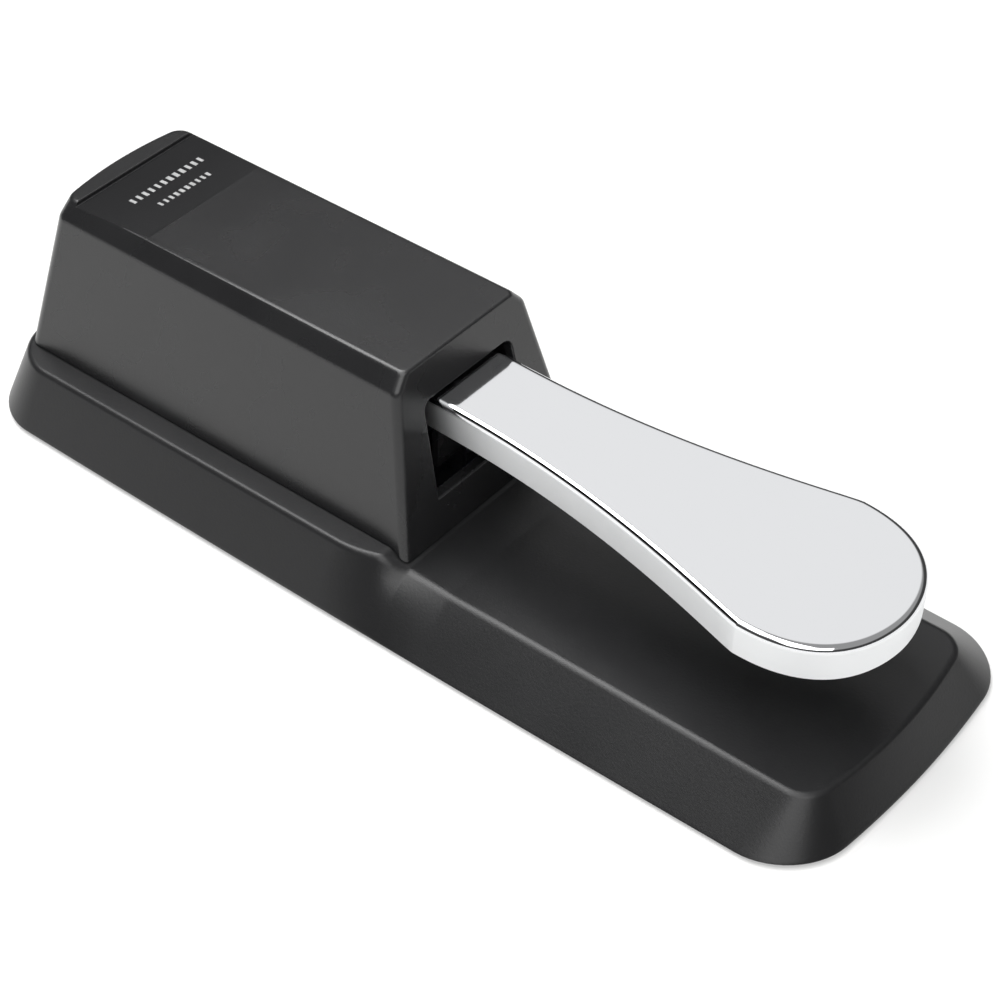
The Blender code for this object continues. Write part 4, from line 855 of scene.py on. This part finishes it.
def screwMesh(kind, length):    # pan head with a cross recess, underside at the origin, shank along +Z
    shank, head, height, reach, width = screwShape[kind]
    dome = [(head * math.cos(math.radians(a)) ** 0.6, -height * (0.45 + 0.55 * math.sin(math.radians(a))))
            for a in range(15, 90, 15)]
    profile = [(0, length), (shank * 0.7, length), (shank, length - shank), (shank, 0), (head, 0),
               (head, -height * 0.45), *dome, (0, -height)]
    screw = turned("screw", [(r * mm, z * mm) for r, z in profile], 28, Matrix.Identity(4), zinc)
    slots = []
    for a in (0, 90):
        deep = -height * 0.35
        outline = [(-reach, -height - 1), (reach, -height - 1), (reach, -height * 0.85), (reach * 0.45, deep),
                   (-reach * 0.45, deep), (-reach, -height * 0.85)]
        slot = prism("recess", [(x * mm, z * mm) for x, z in outline], -width * mm, width * mm, along)
        slot.data.transform(Matrix.Rotation(math.radians(a), 4, "Z"))
        slots.append(slot)
    combine(screw, "DIFFERENCE", slots)
    return settle(screw, 35)


def makeScrews(name, kind, nodes, aim, seed):
    lows, highs = zip(*[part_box(n) for n in nodes])
    aim = Vector(aim)
    length = abs((highs[0] - lows[0]).dot(aim)) / mm - screwShape[kind][2]
    screw = screwMesh(kind, length)
    seats = []
    for low, high in zip(lows, highs):
        middle = (low + high) / 2
        end = Vector([h if a < 0 else l for a, l, h in zip(aim, low, high)])    # the head's outer face
        at = Vector([e if abs(a) > 0.5 else m for a, e, m in zip(aim, end, middle)])
        seats.append(at + aim * screwShape[kind][2] * mm)
    points = pointsObject(name, seats)
    layer = points.data.attributes.new("aim", "FLOAT_VECTOR", "POINT")
    layer.data.foreach_set("vector", [c for _ in seats for c in aim])
    useTree(points, screwTree, {"Screw": screw, "Seed": seed, "Material": zinc})
    bpy.data.objects.remove(screw)
    return finishPiece(points, "base", nodes)


screwTree = placeScrews()
for name, kind, stem, first, last, aim, seed in (
        ("plate_screws_front", "tapping", "plate_screw", 1, 2, (0, 0, 1), 3),
        ("plate_screws_middle", "tapping", "plate_screw", 3, 4, (0, 0, 1), 5),
        ("plate_screws_rear", "tapping", "plate_screw", 5, 6, (0, 0, 1), 7),
        ("cover_screws", "tapping", "cover_screw", 1, 4, (0, 0, 1), 11),
        ("bracket_screws", "machine", "bracket_screw", 1, 4, (0, 0, -1), 13),
        ("stop_screws", "machine", "stop_screw", 1, 2, (0, 0, -1), 17),
        ("switch_foot_screws", "machine", "switch_foot_screw", 1, 2, (0, 0, -1), 19),
        ("switch_screws", "switch", "switch_screw", 1, 2, (-1, 0, 0), 23)):
    makeScrews(name, kind, [f"{stem}_{i}" for i in range(first, last + 1)], aim, seed)
print("screws done")


# printed rules on the rear panel

printShape = {    # two rows of plain marks: first X, last X, Y of the middle, height of a mark, count, in mm
    "rows": ((-10.6, 13.0, 91.0, 2.0, 12), (-7.4, 9.6, 85.2, 1.6, 10)),
    "thickness": 0.05, "fill": 0.5,
}


def printedMarks():    # tree: a flat bar on every point, as long as the point's length attribute
    tree, given = startTree("printed_marks", {"Height": "Float", "Thickness": "Float", "Slope": "Float"})
    size = addNode(tree, "ShaderNodeCombineXYZ", {"X": 1, "Y": given["Height"], "Z": given["Thickness"]})
    bar = addNode(tree, "GeometryNodeMeshCube", {"Size": size.outputs[0]})
    length = addNode(tree, "GeometryNodeInputNamedAttribute", {"Name": "length"}, data_type="FLOAT")
    stretch = addNode(tree, "ShaderNodeCombineXYZ", {"X": length.outputs["Attribute"], "Y": 1, "Z": 1})
    lean = addNode(tree, "ShaderNodeCombineXYZ", {"X": given["Slope"]})
    placed = addNode(tree, "GeometryNodeInstanceOnPoints", {
        "Points": given["Geometry"], "Instance": bar.outputs["Mesh"], "Rotation": lean.outputs[0],
        "Scale": stretch.outputs[0]})
    return closeTree(tree, placed.outputs[0], given["Material"])


def makePrint():
    s = coverShape
    rear = shoulderRear - s["panelLip"]
    slope = s["panelDepth"] / s["panelLength"]
    tree = printedMarks()
    rng = random.Random(4)
    for number, (start, end, y, height, count) in enumerate(printShape["rows"], 1):
        pitch = (end - start) / count
        z = roofZ - (y - rear + s["panelLength"]) * slope + printShape["thickness"] / 2
        points = pointsObject(f"printed_rule_{number}", [
            ((start + pitch * (i + 0.5)) * mm, y * mm, z * mm) for i in range(count)])
        layer = points.data.attributes.new("length", "FLOAT", "POINT")
        lengths = [pitch * printShape["fill"] * rng.uniform(0.75, 1.1) * mm for _ in range(count)]
        layer.data.foreach_set("value", lengths)
        useTree(points, tree, {"Height": height * mm, "Thickness": printShape["thickness"] * mm,
                               "Slope": -math.atan(slope), "Material": ink})
        finishPiece(points, "base")


makePrint()
print("printed rules done")


# return spring

springShape = {"ahead": 44.0, "radius": 6.0, "wire": 0.7, "turns": 8, "perTurn": 40, "closed": 1.9}
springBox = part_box("return_spring")


def sweepWire():    # tree: a round wire along the path
    tree, given = startTree("swept_wire", {"Wire Radius": "Float", "Sides": "Int"})
    path = addNode(tree, "GeometryNodeMeshToCurve", {"Mesh": given["Geometry"]})
    section = addNode(tree, "GeometryNodeCurvePrimitiveCircle", {
        "Resolution": given["Sides"], "Radius": given["Wire Radius"]})
    wire = addNode(tree, "GeometryNodeCurveToMesh", {
        "Curve": path.outputs[0], "Profile Curve": section.outputs[0], "Fill Caps": True})
    return closeTree(tree, wire.outputs[0], given["Material"])


def makeSpring():
    s = springShape
    low, high = springBox[0].z + s["wire"] * mm, springBox[1].z - s["wire"] * mm
    y, closed, turns = pivot.y - s["ahead"] * mm, s["closed"] * s["wire"] * mm, s["turns"]
    path = []
    for i in range(turns * s["perTurn"] + 1):
        turn = i / s["perTurn"]
        if turn <= 1:
            z = low + closed * turn
        elif turn >= turns - 1:
            z = high - closed * (turns - turn)
        else:
            z = low + closed + (high - low - 2 * closed) * (turn - 1) / (turns - 2)
        a = 2 * math.pi * turn
        path.append((s["radius"] * mm * math.cos(a), y + s["radius"] * mm * math.sin(a), z))
    mesh = bpy.data.meshes.new("return_spring_coil")
    mesh.from_pydata(path, [(i, i + 1) for i in range(len(path) - 1)], [])
    spring = newObject("return_spring_coil", mesh)
    useTree(spring, sweepWire(), {"Wire Radius": s["wire"] * mm, "Sides": 12, "Material": springSteel})
    spring.data.shade_smooth()
    spring.data.set_sharp_from_angle(angle=math.radians(50))
    finishPiece(spring, "base", ["return_spring"])
    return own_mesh(spring)


makeSpring()
print("spring done")


# soft stops and the cable grommet

def softBlock(name, node, tilt, roundness, material, fuzz, seed):    # a block with full edges and a soft skin
    low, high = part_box(node)
    centre = (low + high) / 2
    size = high - low
    flat = abs(math.cos(tilt) ** 2 - math.sin(tilt) ** 2)
    depth = (size.y * math.cos(tilt) - size.z * math.sin(abs(tilt))) / flat
    thick = (size.z * math.cos(tilt) - size.y * math.sin(abs(tilt))) / flat
    bm = bmesh.new()
    bmesh.ops.create_cube(bm, size=1, matrix=Matrix.Diagonal((size.x, depth, thick, 1)))
    bmesh.ops.bevel(bm, geom=bm.edges[:], offset=roundness, segments=3, affect="EDGES", profile=0.5)
    bmesh.ops.subdivide_edges(bm, edges=bm.edges[:], cuts=5, use_grid_fill=True)
    bmesh.ops.recalc_face_normals(bm, faces=bm.faces)
    rng = random.Random(seed)
    for vert in bm.verts:
        vert.co -= vert.normal * fuzz * rng.random()
    bmesh.ops.transform(bm, matrix=Matrix.Translation(centre) @ Matrix.Rotation(tilt, 4, "X"), verts=bm.verts)
    block = newObject(name, meshOf(name, bm), material)
    block.data.shade_smooth()
    return block


feltPad = softBlock("felt_stop", "upper_stop_pad", restTilt, 0.5 * mm, felt, 0.06 * mm, 8)
finishPiece(feltPad, "base", ["upper_stop_pad"])
rubberPad = softBlock("rubber_stop", "lower_stop_pad", restTilt + pressAngle, 0.7 * mm, grommetRubber,
                      0.01 * mm, 9)
finishPiece(rubberPad, "base", ["lower_stop_pad"])

grommetShape = {
    "bore": 3.2, "neck": 4.8, "flange": 7.0, "inner": 6.3, "lip": 1.6, "flangeRound": 0.8, "boreRound": 0.4,
    "grooves": 2, "grooveInset": 1.6, "groovePitch": 1.15, "grooveRadius": 0.35,
}


def makeGrommet():    # a turned rubber ring with rolled lips and a grooved face
    s = grommetShape
    low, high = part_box("cable_grommet")
    face, r, b = (high.y - low.y) / mm, s["flangeRound"], s["boreRound"]
    seat = face - s["lip"]
    outer = [(s["flange"], seat), *arc((s["flange"] - r, face - r), r, 0, 90, 6)]
    groove = []
    for k in range(s["grooves"]):
        middle = s["flange"] - s["grooveInset"] - s["groovePitch"] * k
        groove += arc((middle, face), s["grooveRadius"], 0, -180, 6)
    bore = arc((s["bore"] + b, face - b), b, 90, 180, 5)
    inside = [(s["bore"], 0), (s["inner"] * 0.85, 0), (s["inner"], s["lip"] * 0.5),
              (s["inner"], s["lip"]), (s["neck"], s["lip"]), (s["neck"], seat)]
    profile = [(r * mm, h * mm) for r, h in outer + groove + bore + inside]
    place = Matrix.Translation((0, low.y, (low.z + high.z) / 2)) @ Matrix.Rotation(-math.pi / 2, 4, "X")
    grommet = turned("cable_grommet_ring", profile, 72, place, grommetRubber)
    settle(grommet, 40)
    return finishPiece(grommet, "base", ["cable_grommet"])


makeGrommet()
print("stops and grommet done")


# better finishes on the CAD nodes that stay

keptFinishes = {
    "bottom_plate": zinc, "pivot_bracket": zinc, "stop_bracket": zinc, "switch_bracket": zinc,
    "pivot_pin": springSteel, "pin_clip_left": springSteel, "pin_clip_right": springSteel,
    "bush_left": nylon, "bush_right": nylon, "spring_seat": nylon, "spring_cap": nylon,
    "switch_striker": nylon, "lever_shield": coverAbs, "switch_case": switchBody,
    "switch_plunger": plungerPlastic, "switch_terminal_1": brass, "switch_terminal_2": brass,
    "switch_terminal_3": brass,
}
for name, finish in keptFinishes.items():
    node = frame["nodes"][name]
    for slot in node.material_slots:
        slot.link = "OBJECT"
        slot.material = finish
print("kept parts finished")


# studio

studio = {
    "floor": "#c9c9c8", "floorSize": 4.0, "ground": 1.2,
    # painted light: the floor glows, so shadows on it stay faint
    "floorGlow": 0.36, "farGlow": 1.0, "glowNear": 0.25, "glowFar": 1.3,
    "horizon": 0.06, "sky": 0.35, "skyFrom": 0.54, "skyFull": 0.66,    # a dark band below a paler ceiling
    "backdrop": 1.05,    # what the camera sees past the floor
    # soft patches: where, full inside and gone outside these angles, how much light added
    "patches": (
        ((0.62, 0.37, 0.69), 7, 16.5, 0.62), ((-0.50, 0.55, 0.67), 11, 18, -0.35),
        ((-0.83, 0.56, 0.00), 4, 14, 1.2),
    ),
    "softboxDistance": 1.0,
    "softboxes": {    # direction, size and how bright the face looks
        "fill": ((-0.20, 0.15, 0.97), 0.7, 3.5), "key": ((0.10, 0.45, 0.88), 0.5, 7.0),
        "front": ((-0.50, -0.42, 0.757), 0.7, 2.6),
    },
}
view = {
    "target": (4.849, -4.556, 7.455), "azimuth": -50.818, "elevation": 41.909, "distance": 568.04,
    "lens": 91.0,
}


def makeFloor():
    side = studio["floorSize"] / 2
    mesh = bpy.data.meshes.new("floor")
    corners = [(-side, -side, 0), (side, -side, 0), (side, side, 0), (-side, side, 0)]
    mesh.from_pydata(corners, [], [(0, 1, 2, 3)])
    material, tree, shader, place = startMaterial("pale_floor", {
        "Base Color": hexColour(studio["floor"]), "Roughness": 0.9, "Specular IOR Level": 0.1,
        "Emission Color": (1, 1, 1, 1)})
    # painted light: the floor glows more away from the lamps, which keeps it white up to the horizon
    away = addNode(tree, "ShaderNodeVectorMath", {0: place}, operation="LENGTH")
    glow = addNode(tree, "ShaderNodeMapRange", {
        "Value": away.outputs["Value"], "From Min": studio["glowNear"], "From Max": studio["glowFar"],
        "To Min": studio["floorGlow"], "To Max": studio["farGlow"]}, interpolation_type="SMOOTHSTEP")
    tree.links.new(glow.outputs[0], shader.inputs["Emission Strength"])
    # clear when seen from below, so that the underside can be looked at
    under = addNode(tree, "ShaderNodeNewGeometry").outputs["Backfacing"]
    clear = addNode(tree, "ShaderNodeBsdfTransparent")
    oneSided = addNode(tree, "ShaderNodeMixShader", {0: under, 1: shader.outputs[0], 2: clear.outputs[0]})
    tree.links.new(oneSided.outputs[0], tree.nodes["Material Output"].inputs["Surface"])
    newObject("studio_floor", mesh, material)


def makeRoom():    # a dim room, darker towards its horizon, with soft patches of light
    world = bpy.data.worlds.new("studio")
    bpy.context.scene.world = world
    world.use_nodes = True
    tree = world.node_tree
    tree.nodes.clear()
    toward = addNode(tree, "ShaderNodeTexCoord").outputs["Generated"]
    height = addNode(tree, "ShaderNodeSeparateXYZ", {0: toward}).outputs["Z"]
    below = addNode(tree, "ShaderNodeMath", {0: height, 1: 0.0}, operation="LESS_THAN").outputs[0]
    ground = addNode(tree, "ShaderNodeMath", {0: below, 1: studio["ground"]}, operation="MULTIPLY").outputs[0]
    level = addNode(tree, "ShaderNodeMapRange", {
        "Value": height, "From Min": studio["skyFrom"], "From Max": studio["skyFull"],
        "To Min": studio["horizon"], "To Max": studio["sky"]}, interpolation_type="SMOOTHSTEP").outputs[0]
    for centre, inner, outer, strength in studio["patches"]:
        dot = addNode(tree, "ShaderNodeVectorMath", {0: toward, 1: Vector(centre).normalized()},
                      operation="DOT_PRODUCT")
        patch = addNode(tree, "ShaderNodeMapRange", {
            "Value": dot.outputs["Value"], "From Min": math.cos(math.radians(outer)),
            "From Max": math.cos(math.radians(inner)), "To Max": strength}, interpolation_type="SMOOTHSTEP")
        level = addNode(tree, "ShaderNodeMath", {0: level, 1: patch.outputs[0]}, operation="ADD").outputs[0]
    level = addNode(tree, "ShaderNodeMath", {0: level, 1: ground}, operation="MAXIMUM").outputs[0]
    room = addNode(tree, "ShaderNodeBackground", {"Color": (1, 1, 1, 1), "Strength": level})
    seen = addNode(tree, "ShaderNodeBackground", {"Color": (1, 1, 1, 1), "Strength": studio["backdrop"]})
    ray = addNode(tree, "ShaderNodeLightPath").outputs["Is Camera Ray"]
    mixed = addNode(tree, "ShaderNodeMixShader", {0: ray, 1: room.outputs[0], 2: seen.outputs[0]})
    addNode(tree, "ShaderNodeOutputWorld", {"Surface": mixed.outputs[0]})


def addSoftbox(name, toward, distance, size, radiance):    # energy follows from how bright its face looks
    light = bpy.data.lights.new(name, "AREA")
    light.shape = "SQUARE"
    light.size = size
    light.energy = radiance * math.pi * size * size
    lamp = bpy.data.objects.new(name, light)
    aim = Vector(toward).normalized()
    lamp.location = aim * distance
    lamp.rotation_mode = "QUATERNION"
    lamp.rotation_quaternion = aim.to_track_quat("Z", "Y")
    bpy.context.scene.collection.objects.link(lamp)


def makeCamera():
    a, e = math.radians(view["azimuth"]), math.radians(view["elevation"])
    back = Vector((math.sin(a) * math.cos(e), -math.cos(a) * math.cos(e), math.sin(e)))
    lens = bpy.data.cameras.new("camera")
    lens.lens, lens.sensor_width = view["lens"], 36
    lens.clip_start, lens.clip_end = 0.01, 100
    camera = bpy.data.objects.new("camera", lens)
    camera.location = (Vector(view["target"]) + back * view["distance"]) * mm
    camera.rotation_mode = "QUATERNION"
    camera.rotation_quaternion = (-back).to_track_quat("-Z", "Y")
    bpy.context.scene.collection.objects.link(camera)
    bpy.context.scene.camera = camera


makeFloor()
makeRoom()
for name, (toward, size, radiance) in studio["softboxes"].items():
    addSoftbox(name + "_softbox", toward, studio["softboxDistance"], size, radiance)
makeCamera()
bpy.context.scene.view_settings.view_transform = "Standard"
print("studio ready")
